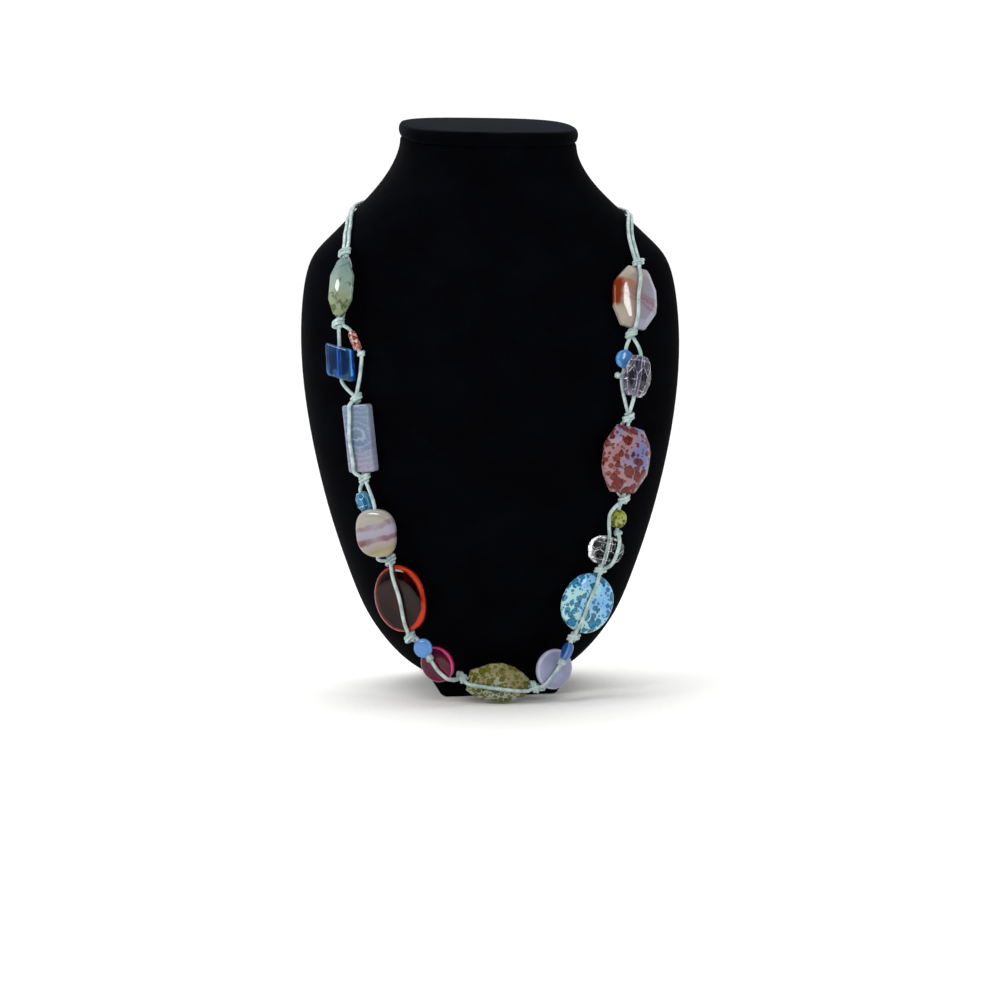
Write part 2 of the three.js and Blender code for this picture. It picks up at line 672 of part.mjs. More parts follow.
// A cord through places: curved between them, and straight after a place marked so.
function tube(places) {
  const points = places.map((place) => place.point ?? place);
  const curve = new THREE.CatmullRomCurve3(points);
  const stops = [points[0]];
  for (let index = 0; index + 1 < points.length; index += 1) {
    const reach = points[index].distanceTo(points[index + 1]);
    const steps = places[index].straight ? 1 : Math.max(1, Math.round(reach / CORD_STEP));
    for (let step = 1; step < steps; step += 1) {
      stops.push(curve.getPoint((index + step / steps) / (points.length - 1)));
    }
    stops.push(points[index + 1]);
  }
  const circle = new THREE.Shape();
  circle.absarc(0, 0, CORD / 2, 0, 2 * Math.PI, false);
  const section = new THREE.Shape(circle.getSpacedPoints(CORD_SIDES).slice(0, CORD_SIDES));
  const extrudePath = new StepPath(stops);
  const steps = stops.length - 1;
  return new THREE.ExtrudeGeometry(section, { extrudePath, steps, bevelEnabled: false });
}

function placed(geometry, frame) {
  const inwards = frame.outward.clone().negate();
  const matrix = new THREE.Matrix4().makeBasis(frame.across, inwards, frame.up);
  return geometry.applyMatrix4(matrix.setPosition(frame.point));
}

// A tied knot: turns of cord drawn tight, each a flat round slanted against the next.
const TURN_SLANT = THREE.MathUtils.degToRad(22);
const TURN_SHARE = 0.62; // a turn's thickness as a share of the knot's length
function knot(width, length, turns) {
  const parts = [];
  for (let turn = 0; turn < turns; turn += 1) {
    const side = turns === 1 ? 0 : 2 * turn - 1;
    const thickness = turns === 1 ? length : length * TURN_SHARE;
    const round = new THREE.SphereGeometry(1, KNOT_SIDES, 4);
    round.rotateX(Math.PI / 2).scale(width / 2, width / 2, thickness / 2);
    round.rotateY(side * TURN_SLANT);
    round.translate(0, 0, side * (length - thickness) / 2);
    parts.push(round);
  }
  return fuse(parts);
}

// Assembly

const beadMeshes = [];
const surfaceRay = new THREE.Raycaster();

// How far a bead's front stands out from its middle near a place on it.
function frontOf(size, across, up) {
  const probe = new THREE.Mesh(size.shape(size));
  const away = 10 * size.thickness;
  const near = [-CORD / 2, 0, CORD / 2];
  let reach = 0;
  near.forEach((aside) => near.forEach((ahead) => {
    const start = new THREE.Vector3(across + aside, -away, up + ahead);
    surfaceRay.set(start, new THREE.Vector3(0, 1, 0));
    const [hit] = surfaceRay.intersectObject(probe);
    if (hit) reach = Math.max(reach, away - hit.distance);
  }));
  return reach;
}

function addBead(name, frame) {
  const size = BEADS[name];
  const mesh = asMesh(drilled(size.shape(size), size.length), name, COLOURS[name], 0.15);
  const inwards = frame.outward.clone().negate();
  const basis = new THREE.Matrix4().makeBasis(frame.across, inwards, frame.up);
  mesh.quaternion.setFromRotationMatrix(basis);
  mesh.position.copy(frame.point);
  beadMeshes.push(mesh);
}

const HOLD = KNOT_LENGTH / 2 + 2 * GAP; // from a held bead's end to the middle of its knot
const BEHIND = CORD + 3 * GAP; // room for a cord between a bead and the chest
const CROSS_PLACES = [-0.98, -0.8, -0.6, 0, 0.6, 0.8, 0.98]; // shares of half the length
const BEHIND_PLACES = [-0.72, -0.25, 0.25, 0.72]; // shares of the way to the knots

// The cord that crosses a held bead in front, as places from knot to knot.
function crossingCord(entry, size, frame, side) {
  const reach = size.length / 2 + HOLD;
  const [low, middle, high] = entry.cross.map((share) => share * size.width);
  const over = CROSS_PLACES.map((share) => {
    const inward = middle + ((share < 0 ? low : high) - middle) * Math.abs(share);
    const up = (share * size.length) / 2;
    const out = frontOf(size, -side * inward, up) + CORD / 2 + CROSS_GAP;
    return placeIn(frame, side, inward, up, out);
  });
  const ends = [-reach, reach].map((up) => placeIn(frame, side, 0, up, CORD / 2));
  return [ends[0], ...over, ends[1]];
}

// The cord that runs behind a held bead, as places from knot to knot.
function hiddenCord(size, frame, lay, station) {
  const reach = size.length / 2 + HOLD;
  const lift = CORD / 2 + 2 * GAP;
  const under = BEHIND_PLACES.map((share) => layFrame(lay, station + share * reach, 0, lift).point);
  const ends = [-reach, reach].map((up) => placeIn(frame, lay.side, 0, up, -CORD / 2));
  return [ends[0], ...under, ends[1]];
}

// A bead held between two knots: its frame, and the frames of its knots.
function holdBead(entry, lay, station) {
  const size = BEADS[entry.bead];
  const reach = size.length / 2 + HOLD;
  const lift = size.thickness / 2 + GAP + (entry.lift ?? 0) + (entry.behind ? BEHIND : 0);
  const middle = layFrame(lay, station, 0, lift);
  const below = layFrame(lay, station - reach, 0, lift).point;
  const above = layFrame(lay, station + reach, 0, lift).point;
  const level = frameFrom(middle.point, above.sub(below), middle.outward);
  const frame = turned(level, entry.turn ?? 0, 0);
  addBead(entry.bead, frame);
  const knots = [-reach, reach].map((up) => ({
    ...frame,
    point: placeIn(frame, lay.side, 0, up, 0),
  }));
  return { size, frame, knots };
}

function tiedKnot(frame) {
  return placed(knot(KNOT_WIDTH, KNOT_LENGTH, 2), frame);
}

function cordsOfHeld(entry, held, lay, station) {
  const [below, above] = held.knots;
  const second = entry.behind
    ? hiddenCord(held.size, held.frame, lay, station)
    : crossingCord(entry, held.size, held.frame, lay.side);
  return [
    tube([{ point: below.point, straight: true }, { point: above.point }]),
    tube(second),
    tiedKnot(below),
    tiedKnot(above),
  ];
}

// The cords of the lowest bead, cut at its middle into a lower half that starts the left side and
// an upper half that starts the right side.
function cordsOfLowest(held, side) {
  const [below, above] = held.knots;
  const cuts = [-GAP, GAP];
  const through = cuts.map((up) => placeIn(held.frame, side, 0, up, 0));
  const crossing = crossingCord(LOWEST, held.size, held.frame, side);
  const half = (crossing.length - 1) / 2;
  const over = cuts.map((up) => crossing[half].clone().addScaledVector(held.frame.up, up));
  return {
    low: [
      tube([{ point: below.point, straight: true }, { point: through[0] }]),
      tube([...crossing.slice(0, half), over[0]]),
      tiedKnot(below),
    ],
    high: [
      tube([{ point: through[1], straight: true }, { point: above.point }]),
      tube([over[1], ...crossing.slice(half + 1)]),
      tiedKnot(above),
    ],
  };
}

const MOUTH = 1; // a cord runs straight for this far past a bead's ends

// The place of a stop or a cord on a run, free or over or under one of the run's beads.
function placeOnRun(row, entry, lay, station, frames, radius) {
  const name = row.over ?? row.under;
  if (!name) {
    const lift = radius + GAP + (row.lift ?? 0);
    return { up: row.up, frame: layFrame(lay, station + row.up * entry.run, row.in, lift) };
  }
  const size = BEADS[name];
  const { up, frame } = frames[name];
  const along = (row.at * size.length) / 2;
  const out = row.over
    ? frontOf(size, -lay.side * row.in, along) + radius + CROSS_GAP
    : -size.thickness / 2 - radius - CROSS_GAP;
  const point = placeIn(frame, lay.side, row.in, along, out);
  return { up: up + along / entry.run, frame: { ...frame, point } };
}

// A run between two knots with its two cords apart, and the small beads and stops on them.
function runCords(entry, lay, station, from, to, cords) {
  const cordPlaces = { front: [], back: [] };
  const frames = {};
  entry.beads.forEach((row) => {
    const size = BEADS[row.bead];
    const lift = size.thickness / 2 + GAP + (row.lift ?? 0);
    const level = layFrame(lay, station + row.up * entry.run, row.in, lift);
    const frame = turned(level, row.turn ?? 0, row.roll ?? 0);
    addBead(row.bead, frame);
    frames[row.bead] = { up: row.up, frame };
    const end = size.length / 2 + MOUTH;
    const [below, above] = [-end, end].map((up) => placeIn(frame, lay.side, 0, up, 0));
    cordPlaces[row.cord].push({ up: row.up, point: below, straight: true });
    cordPlaces[row.cord].push({ up: row.up + end / entry.run, point: above });
  });
  entry.stops.forEach((row) => {
    const { up, frame } = placeOnRun(row, entry, lay, station, frames, STOP_WIDTH / 2);
    cords.push(placed(knot(STOP_WIDTH, STOP_LENGTH, 1), frame));
    cordPlaces[row.cord].push({ up, point: frame.point });
  });
  entry.passes.forEach((row) => {
    const { up, frame } = placeOnRun(row, entry, lay, station, frames, CORD / 2);
    cordPlaces[row.cord].push({ up, point: frame.point });
  });
  const aside = { front: CORD / 4, back: -CORD / 4 };
  Object.entries(cordPlaces).forEach(([cord, places]) => {
    places.sort((one, other) => one.up - other.up);
    cords.push(tube([
      placeIn(from, lay.side, 0, 0, aside[cord]),
      ...places,
      placeIn(to, lay.side, 0, 0, aside[cord]),
    ]));
  });
}

// The beads, knots and cords of one side, from its first knot up to its last.
function stringSide(order, lay, firstKnot, cords) {
  let lastKnot = firstKnot;
  let station = BEADS[LOWEST.bead].length / 2 + HOLD;
  for (let index = 0; index < order.length; index += 2) {
    const run = order[index];
    const entry = order[index + 1];
    const reach = BEADS[entry.bead].length / 2 + HOLD;
    const middle = station + run.run + reach;
    const held = holdBead(entry, lay, middle);
    cords.push(...cordsOfHeld(entry, held, lay, middle));
    runCords(run, lay, station, lastKnot, held.knots[0], cords);
    [, lastKnot] = held.knots;
    station = middle + reach;
  }
  return { knot: lastKnot, station };
}

// Frames along rows of turn and height on the body's skin, on one side.
function skinFrames(side, rows) {
  return rows.map(({ turn, height }) => {
    const angle = side * THREE.MathUtils.degToRad(turn);
    const point = bodyPoint(angle, height);
    const step = 0.02;
    const round = bodyPoint(angle + step, height).sub(bodyPoint(angle - step, height));
    const rise = bodyPoint(angle, height + step / 4).sub(bodyPoint(angle, height - step / 4));
    const outward = new THREE.Vector3().crossVectors(round, rise).normalize();
    return { point, outward };
  });
}

// Two cords side by side along places with their outward directions.
function pairAlong(frames, lift) {
  const aside = frames.map((frame, index) => {
    const before = frames[Math.max(index - 1, 0)].point;
    const after = frames[Math.min(index + 1, frames.length - 1)].point;
    return new THREE.Vector3().crossVectors(after.clone().sub(before), frame.outward).normalize();
  });
  return [-1, 1].map((side) => tube(frames.map((frame, index) => frame.point.clone()
    .addScaledVector(frame.outward, lift)
    .addScaledVector(aside[index], (side * CORD_SPREAD) / 2))));
}

// From a side's last knot over the shoulder.
function shoulderCords(lay, rows, end) {
  const start = {
    point: placeIn(end.knot, lay.side, 0, 0, -CORD),
    outward: end.knot.outward,
  };
  return pairAlong([start, ...skinFrames(lay.side, rows)], CORD / 2 + SKIN_GAP);
}

// The stretch round the nape, with the knot that closes the loop.
function napeCords() {
  const trimmed = (side) => {
    const frames = skinFrames(side, NAPE_LAY);
    const [first, second] = frames;
    const away = second.point.clone().sub(first.point).setLength(CROSS_GAP);
    first.point.add(away);
    return frames;
  };
  const frames = [...trimmed(LEFT), ...trimmed(RIGHT).reverse()];
  const { height } = NAPE_LAY[NAPE_LAY.length - 1];
  const [middle] = skinFrames(RIGHT, [{ turn: 180, height }]);
  middle.point.addScaledVector(middle.outward, KNOT_WIDTH / 2 + GAP);
  const closing = frameFrom(middle.point, new THREE.Vector3(1, 0, 0), middle.outward);
  return [...pairAlong(frames, CORD / 2 + SKIN_GAP), tiedKnot(closing)];
}

const bust = new THREE.Group();
bust.add(asMesh(bustBody(), 'bust_body', 0x0a0b0e, 0.95), neckCap(), bustFoot());

const leftLay = makeLay(LEFT, LEFT_LAY);
const rightLay = makeLay(RIGHT, RIGHT_LAY);
const lowest = holdBead(LOWEST, rightLay, 0);
const lowestCords = cordsOfLowest(lowest, RIGHT);
const [leftKnot, rightKnot] = lowest.knots;
const leftEnd = stringSide(LEFT_ORDER, leftLay, leftKnot, lowestCords.low);
const rightEnd = stringSide(RIGHT_ORDER, rightLay, rightKnot, lowestCords.high);
const leftCords = [...lowestCords.low, ...shoulderCords(leftLay, LEFT_SHOULDER, leftEnd)];
const rightCords = [...lowestCords.high, ...shoulderCords(rightLay, RIGHT_SHOULDER, rightEnd)];

const necklace = new THREE.Group();
necklace.add(...beadMeshes);
necklace.add(asMesh(fuse(leftCords), 'cord_left', 0xb8d4d0, 0.6));
necklace.add(asMesh(fuse(rightCords), 'cord_right', 0xb8d4d0, 0.6));
necklace.add(asMesh(fuse(napeCords()), 'cord_nape', 0xb8d4d0, 0.6));

// The whole stands with its foot on z = 0 and its box centred on the Z axis.
const necklaceOnBust = new THREE.Group();
necklaceOnBust.add(bust, necklace);
necklaceOnBust.updateMatrixWorld(true);
const box = new THREE.Box3().setFromObject(necklaceOnBust, true);
const centre = box.getCenter(new THREE.Vector3());
[bust, necklace].forEach((half) => half.position.set(-centre.x, -centre.y, -box.min.z));

export default necklaceOnBust;
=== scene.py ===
"""Beaded necklace on a black velvet neck display bust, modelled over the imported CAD.

Run as a script in Blender 4.5. Tables are in millimetres in the model's frame, and Blender is in
metres. The necklace and the bust are one piece with no joints, so everything rides on root.
"""

import math

import bpy
from mathutils import Euler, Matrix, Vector


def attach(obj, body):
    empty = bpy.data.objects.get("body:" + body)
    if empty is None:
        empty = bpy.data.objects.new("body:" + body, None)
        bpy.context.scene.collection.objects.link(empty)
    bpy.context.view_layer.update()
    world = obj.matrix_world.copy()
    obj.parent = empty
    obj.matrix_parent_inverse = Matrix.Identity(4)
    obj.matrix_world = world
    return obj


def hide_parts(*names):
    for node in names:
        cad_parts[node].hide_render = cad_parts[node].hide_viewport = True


bl_info = {
    "name": "Beaded Necklace on Display Bust",
    "version": (1, 0, 0),
    "blender": (4, 5, 0),
    "location": "3D View > Sidebar > Necklace",
    "description": "Glass and agate beads on knotted cords over a velvet bust",
    "category": "Object",
}

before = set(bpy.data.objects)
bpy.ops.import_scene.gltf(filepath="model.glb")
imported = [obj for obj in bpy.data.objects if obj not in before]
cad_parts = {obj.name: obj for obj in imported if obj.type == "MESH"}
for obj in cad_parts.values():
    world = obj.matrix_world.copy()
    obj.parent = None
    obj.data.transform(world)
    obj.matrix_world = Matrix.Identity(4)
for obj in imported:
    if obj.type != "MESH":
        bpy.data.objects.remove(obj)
MM = 0.001

# Each bead's size (across, through, along its hole), its middle, and its turn in degrees.
BEADS = {
    "green_faceted_bead": ((13, 9, 29.4), (-79.8, -36.2, 206.1), (-13.0, -0.3, -30.0)),
    "small_mottled_bead": ((4, 4, 9.5), (-73.6, -39.8, 180.1), (-8.7, -26.1, -22.4)),
    "blue_slab_bead": ((13.5, 5.5, 16), (-80.5, -37.0, 169.6), (-3.6, -5.4, -34.1)),
    "lace_bar_bead": ((14, 6, 33.2), (-71.5, -44.1, 132.8), (0.9, -5.9, -30.8)),
    "aqua_faceted_bead": ((7.2, 7.2, 9.7), (-69.9, -42.7, 101.5), (8.8, -16.3, -39.5)),
    "banded_pebble_bead": ((20.4, 7, 24), (-64.5, -49.8, 86.6), (7.7, 0.4, -32.2)),
    "red_oval_bead": ((27.4, 7, 33.2), (-52.8, -48.4, 54.0), (0.0, -15.8, -33.7)),
    "blue_coin_bead": ((9.5, 4.2, 9.5), (-42.1, -53.6, 29.9), (0.0, -36.2, -31.3)),
    "magenta_disc_bead": ((17, 5.4, 18.6), (-34.3, -47.8, 20.7), (0.0, -45.5, -31.6)),
    "olive_faceted_bead": ((19.6, 8, 31), (-4.1, -47.3, 10.9), (-180.0, 81.4, 178.3)),
    "lilac_disc_bead": ((20, 5.4, 20.4), (24.0, -48.3, 16.9), (0.0, 31.2, 19.5)),
    "navy_coin_bead": ((9.4, 4.2, 9.4), (28.6, -58.7, 27.5), (24.2, 5.0, 95.7)),
    "sky_spotted_bead": ((27, 7, 30.4), (40.1, -51.9, 50.2), (0.0, 25.7, 21.2)),
    "clear_rondelle_bead": ((20, 9, 13.4), (49.3, -51.8, 76.5), (8.5, 10.8, 23.9)),
    "green_coin_bead": ((9.6, 4.2, 9.6), (56.2, -47.8, 91.6), (5.7, 2.3, 25.9)),
    "red_spotted_bead": ((25, 8, 34.4), (58.9, -54.2, 122.2), (-1.5, 4.3, 20.5)),
    "smoky_faceted_bead": ((13.5, 10, 20), (64.7, -51.8, 162.5), (-6.4, 14.3, 18.0)),
    "pale_blue_coin_bead": ((9.5, 4.2, 9.5), (59.6, -45.8, 170.8), (-6.6, 9.7, 16.0)),
    "pink_banded_bead": ((23, 8, 31), (65.7, -40.1, 201.0), (-12.2, 12.6, 16.9)),
}

# Knots tied with both cords at the two ends of a bead, each turned as the bead is, and the nape's
# plain knot: middle, and turn in degrees.
KNOTS = {
    "olive_faceted_bead": [(-22.2, -46.8, 13.6), (14.1, -47.8, 8.1)],
    "red_oval_bead": [(-48.4, -51.3, 35.2), (-57.3, -45.4, 72.7)],
    "lace_bar_bead": [(-69.7, -44.9, 113.4), (-73.4, -43.3, 152.2)],
    "green_faceted_bead": [(-81.7, -39.6, 188.9), (-77.9, -32.7, 223.2)],
    "sky_spotted_bead": [(32.8, -54.8, 33.9), (47.4, -49.1, 66.5)],
    "red_spotted_bead": [(57.7, -55.2, 102.2), (60.1, -53.2, 142.3)],
    "pink_banded_bead": [(63.1, -45.0, 183.5), (68.4, -35.2, 218.6)],
}
NAPE_KNOT = ((0.0, 60.2, 256.6), (-180.0, -90.0, 0.0))
# Stops tied with one cord beside the small beads.
STOPS = [
    ((-38.7, -51.4, 24.5), (0.0, -45.5, -31.6)),
    ((-70.0, -40.1, 94.1), (9.4, -13.0, -42.8)),
    ((-70.7, -41.4, 174.0), (-5.3, -6.4, -23.9)),
    ((27.1, -52.9, 20.8), (0.0, 31.2, 19.5)),
    ((55.8, -49.9, 84.7), (8.6, 6.5, 26.9)),
    ((56.2, -47.8, 162.9), (-6.9, 11.8, 14.2)),
]

# Routes of the cords, stretch by stretch. STRAIGHT ends a point whose next stretch isn't curved.
STRAIGHT = True
STRANDS = {
    "cord_left": [
        [(-22.2, -47.2, 13.6, STRAIGHT), (-4.1, -47.3, 10.9)],
        [(-22.2, -47.2, 13.6), (-19.5, -49.8, 10.8), (-16.8, -51.2, 10.4), (-13.8, -52.4, 9.9),
         (-4.6, -52.7, 8.4)],
        [(-48.4, -51.3, 35.2, STRAIGHT), (-57.3, -45.4, 72.7)],
        [(-48.9, -52.0, 35.2), (-49.9, -53.9, 38.6), (-51.1, -54.5, 41.6), (-51.9, -54.7, 44.8),
         (-53.7, -53.7, 54.6), (-56.5, -51.7, 64.0), (-57.1, -50.5, 67.1), (-57.3, -49.0, 69.9),
         (-57.8, -46.2, 72.7)],
        [(-22.3, -47.2, 13.6), (-29.6, -53.4, 13.9), (-31.6, -53.7, 15.4), (-34.9, -52.2, 18.4),
         (-38.7, -51.4, 24.5), (-39.2, -55.3, 25.3, STRAIGHT), (-45.0, -51.8, 34.6),
         (-48.7, -51.7, 35.2)],
        [(-22.2, -46.3, 13.6), (-28.0, -51.7, 13.4, STRAIGHT), (-40.5, -44.0, 27.9),
         (-48.2, -50.9, 35.2)],
        [(-69.7, -44.9, 113.4, STRAIGHT), (-73.4, -43.3, 152.2)],
        [(-70.1, -45.6, 113.4), (-74.9, -46.9, 116.3), (-75.3, -46.8, 119.2), (-75.7, -46.6, 122.5),
         (-77.0, -45.9, 132.4), (-77.0, -46.1, 142.4), (-77.0, -46.1, 145.7), (-77.1, -46.2, 148.7),
         (-73.9, -44.1, 152.2)],
        [(-57.5, -45.8, 72.7), (-63.7, -48.3, 73.7, STRAIGHT), (-65.4, -51.3, 99.5),
         (-67.0, -48.0, 105.8), (-69.9, -45.2, 113.4)],
        [(-57.0, -45.1, 72.7), (-61.0, -45.0, 78.9), (-65.6, -44.0, 90.8), (-70.0, -40.1, 94.1),
         (-68.1, -43.1, 95.9, STRAIGHT), (-71.7, -42.4, 107.0), (-69.4, -44.5, 113.4)],
        [(-81.7, -39.6, 188.9, STRAIGHT), (-77.9, -32.7, 223.2)],
        [(-81.2, -38.9, 188.7), (-78.9, -35.2, 192.6), (-77.0, -31.9, 200.5), (-76.4, -30.1, 208.8),
         (-74.8, -28.4, 216.7), (-77.4, -31.9, 223.0)],
        [(-73.6, -43.7, 152.2), (-71.2, -42.8, 165.4), (-70.7, -41.4, 174.0),
         (-71.6, -41.5, 175.0, STRAIGHT), (-75.6, -38.0, 185.2), (-81.9, -40.0, 189.0)],
        [(-73.2, -42.9, 152.2), (-80.1, -37.9, 160.6, STRAIGHT), (-80.9, -36.0, 178.5),
         (-81.4, -39.2, 188.8)],
        [(-78.7, -32.0, 222.6), (-76.9, -20.3, 228.4), (-76.3, -15.9, 232.4), (-75.1, -11.1, 236.3),
         (-74.3, -4.6, 239.8), (-72.9, 2.6, 242.9), (-71.5, 11.3, 245.1)],
        [(-76.8, -32.8, 223.7), (-74.9, -21.1, 229.2), (-74.4, -17.0, 233.1), (-73.3, -12.1, 237.2),
         (-72.6, -5.5, 241.1), (-71.3, 1.8, 244.3), (-69.9, 10.8, 246.6)],
    ],
    "cord_right": [
        [(-4.1, -47.3, 10.9, STRAIGHT), (14.1, -48.2, 8.1)],
        [(-4.6, -52.7, 8.4), (4.6, -53.0, 7.3), (7.8, -51.9, 6.9), (10.6, -50.7, 6.6),
         (14.1, -48.2, 8.1)],
        [(32.8, -54.8, 33.9, STRAIGHT), (47.4, -49.1, 66.5)],
        [(33.1, -55.6, 33.9), (33.8, -57.6, 37.5), (35.2, -58.3, 40.0), (36.6, -58.4, 42.8),
         (40.0, -57.2, 51.1), (43.9, -55.5, 59.2), (45.0, -54.5, 61.9), (45.8, -52.9, 64.3),
         (47.7, -49.9, 66.5)],
        [(14.1, -48.3, 8.1), (17.4, -52.9, 9.1), (19.4, -53.7, 11.0), (23.0, -53.0, 14.8),
         (27.1, -52.9, 20.8), (26.3, -59.4, 22.3, STRAIGHT), (30.9, -58.1, 32.7),
         (32.9, -55.2, 33.9)],
        [(14.1, -47.4, 8.1), (18.5, -50.2, 7.3, STRAIGHT), (29.4, -46.4, 26.5), (30.5, -50.6, 27.0),
         (32.6, -54.4, 33.9)],
        [(57.7, -55.2, 102.2, STRAIGHT), (60.1, -53.2, 142.3)],
        [(57.4, -54.4, 102.2), (54.3, -49.3, 108.1), (56.3, -49.4, 117.3), (57.2, -48.9, 127.1),
         (56.7, -48.7, 136.5), (59.8, -52.4, 142.2)],
        [(47.6, -49.5, 66.5), (51.2, -54.2, 69.0), (52.8, -55.7, 71.9), (54.0, -56.0, 75.1),
         (55.1, -55.6, 78.3), (55.8, -54.0, 81.7), (55.8, -49.9, 84.7),
         (55.8, -47.4, 85.8, STRAIGHT), (56.7, -48.2, 97.4), (57.8, -55.7, 102.2)],
        [(47.2, -48.7, 66.5), (47.5, -51.3, 69.0, STRAIGHT), (51.0, -52.3, 83.9),
         (50.8, -52.3, 88.2), (51.3, -53.0, 94.9), (57.5, -54.8, 102.2)],
        [(63.1, -45.0, 183.5, STRAIGHT), (68.4, -35.2, 218.6)],
        [(63.4, -45.8, 183.7), (64.7, -46.8, 187.1), (65.3, -47.3, 190.1), (65.9, -47.6, 193.3),
         (66.5, -45.4, 202.4), (68.0, -42.9, 211.2), (68.1, -41.0, 213.9), (68.1, -39.0, 216.3),
         (68.7, -36.0, 218.7)],
        [(60.3, -53.6, 142.3), (57.9, -48.6, 156.7), (57.8, -47.6, 162.7),
         (58.9, -46.7, 165.1, STRAIGHT), (60.4, -44.9, 176.4), (63.3, -45.4, 183.6)],
        [(60.0, -52.8, 142.3), (62.5, -53.8, 151.9, STRAIGHT), (66.9, -49.8, 173.1),
         (63.0, -44.5, 183.4)],
        [(67.2, -35.3, 218.7), (66.3, -28.5, 226.3), (65.7, -25.2, 231.5), (66.2, -20.6, 236.5),
         (67.2, -15.8, 239.9), (68.5, -10.0, 242.8), (69.9, -1.4, 245.0), (69.9, 10.9, 246.7)],
        [(69.3, -34.6, 218.3), (68.4, -27.7, 225.9), (67.8, -24.4, 230.9), (68.2, -19.9, 235.5),
         (69.1, -15.4, 238.7), (70.3, -9.8, 241.3), (71.6, -1.2, 243.4), (71.5, 11.2, 245.1)],
    ],
    "cord_nape": [
        [(-71.5, 11.3, 245.1), (-70.4, 22.5, 246.4), (-68.2, 30.3, 247.7), (-64.2, 37.9, 249.2),
         (-58.0, 44.7, 250.9), (-49.0, 50.6, 252.5), (-37.3, 55.0, 254.1), (-21.7, 57.6, 255.4),
         (21.7, 57.6, 255.4), (37.3, 55.0, 254.1), (49.0, 50.6, 252.5), (58.0, 44.7, 250.9),
         (64.2, 37.9, 249.2), (68.2, 30.3, 247.7), (70.4, 22.5, 246.4), (71.5, 11.2, 245.1)],
        [(-69.9, 10.8, 246.6), (-68.8, 22.0, 248.1), (-66.9, 29.4, 249.3), (-63.2, 36.8, 250.9),
         (-57.5, 43.5, 252.8), (-49.0, 49.8, 254.6), (-37.5, 54.6, 256.4), (-21.7, 57.5, 257.7),
         (21.7, 57.5, 257.7), (37.5, 54.6, 256.4), (49.0, 49.8, 254.6), (57.5, 43.5, 252.8),
         (63.2, 36.8, 250.9), (66.9, 29.4, 249.3), (68.8, 22.0, 248.1), (69.9, 10.9, 246.7)],
    ],
}


# Small tools of the maker's bench


def linear(colour):
    """Turn a colour written as an sRGB hex value into Blender's linear colour."""
    shares = [int(colour[place:place + 2], 16) / 255 for place in (1, 3, 5)]
    return tuple(
        share / 12.92 if share <= 0.04045 else ((share + 0.055) / 1.055) ** 2.4 for share in shares
    ) + (1.0,)


def put_down():
    """Leave edit mode and leave nothing selected."""
    if bpy.context.object and bpy.context.object.mode != "OBJECT":
        bpy.ops.object.mode_set(mode="OBJECT")
    bpy.ops.object.select_all(action="DESELECT")


def take(piece):
    """Select one piece alone and make it the active one."""
    put_down()
    piece.select_set(True)
    bpy.context.view_layer.objects.active = piece


def pick(piece, kind, test):
    """In edit mode, select the faces or edges whose middle and normal pass a test."""
    bpy.ops.mesh.select_all(action="DESELECT")
    bpy.ops.mesh.select_mode(type=kind)
    bpy.ops.object.mode_set(mode="OBJECT")
    mesh = piece.data
    if kind == "FACE":
        for face in mesh.polygons:
            face.select = test(face.center / MM, face.normal)
    else:
        for edge in mesh.edges:
            ends = [mesh.vertices[index].co for index in edge.vertices]
            edge.select = test((ends[0] + ends[1]) / 2 / MM, (ends[1] - ends[0]).normalized())
    bpy.ops.object.mode_set(mode="EDIT")


def apply_modifier(piece, kind, **settings):
    """Add a modifier with its settings and apply it."""
    take(piece)
    modifier = piece.modifiers.new(kind.title(), kind)
    for name, value in settings.items():
        setattr(modifier, name, value)
    bpy.ops.object.modifier_apply(modifier=modifier.name)


def round_off(piece, levels):
    """Smooth a piece by subdivision."""
    apply_modifier(piece, "SUBSURF", levels=levels, render_levels=levels)


def settle(piece, name, middle, turn):
    """Move a piece that was modelled at the origin to its place, kept in its mesh."""
    take(piece)
    piece.name = name
    piece.data.name = name
    piece.location = Vector(middle) * MM
    piece.rotation_euler = Euler([math.radians(angle) for angle in turn])
    bpy.ops.object.transform_apply(location=True, rotation=True, scale=True)


def dress(piece, node, material, edges=None):
    """Give a piece its material, let it stand for its CAD node, and let it ride on the body."""
    if edges:
        piece.data.materials[0], piece.data.materials[1] = material, edges
    else:
        piece.data.materials.clear()
        piece.data.materials.append(material)
    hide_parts(node)
    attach(piece, "root")


def add(tree, kind, inputs, give=0, stops=(), **settings):
    """Add a node with its settings, set or link its inputs, and hand back one of its outputs."""
    node = tree.nodes.new("ShaderNode" + kind)
    for name, value in settings.items():
        setattr(node, name, value)
    if stops:
        elements = node.color_ramp.elements
        elements.remove(elements[-1])
        elements[0].position = stops[0][0]
        elements[0].color = tone(stops[0][1])
        for place, value in stops[1:]:
            elements.new(place).color = tone(value)
    for key, value in inputs.items():
        socket = node.inputs[key] if isinstance(key, int) else next(
            item for item in node.inputs if key in (item.identifier, item.name))
        if isinstance(value, bpy.types.NodeSocket):
            tree.links.new(value, socket)
        else:
            socket.default_value = linear(value) if isinstance(value, str) else value
    if isinstance(give, int):
        return node.outputs[give] if node.outputs else None
    return next(item for item in node.outputs if give in (item.identifier, item.name))


def tone(value):
    """A stop's value is a hex colour or a plain share of white."""
    return linear(value) if isinstance(value, str) else (value, value, value, 1.0)


def blank_material(name):
    """A new node material with an empty tree."""
    material = bpy.data.materials.new(name)
    material.use_nodes = True
    material.node_tree.nodes.clear()
    return material, material.node_tree


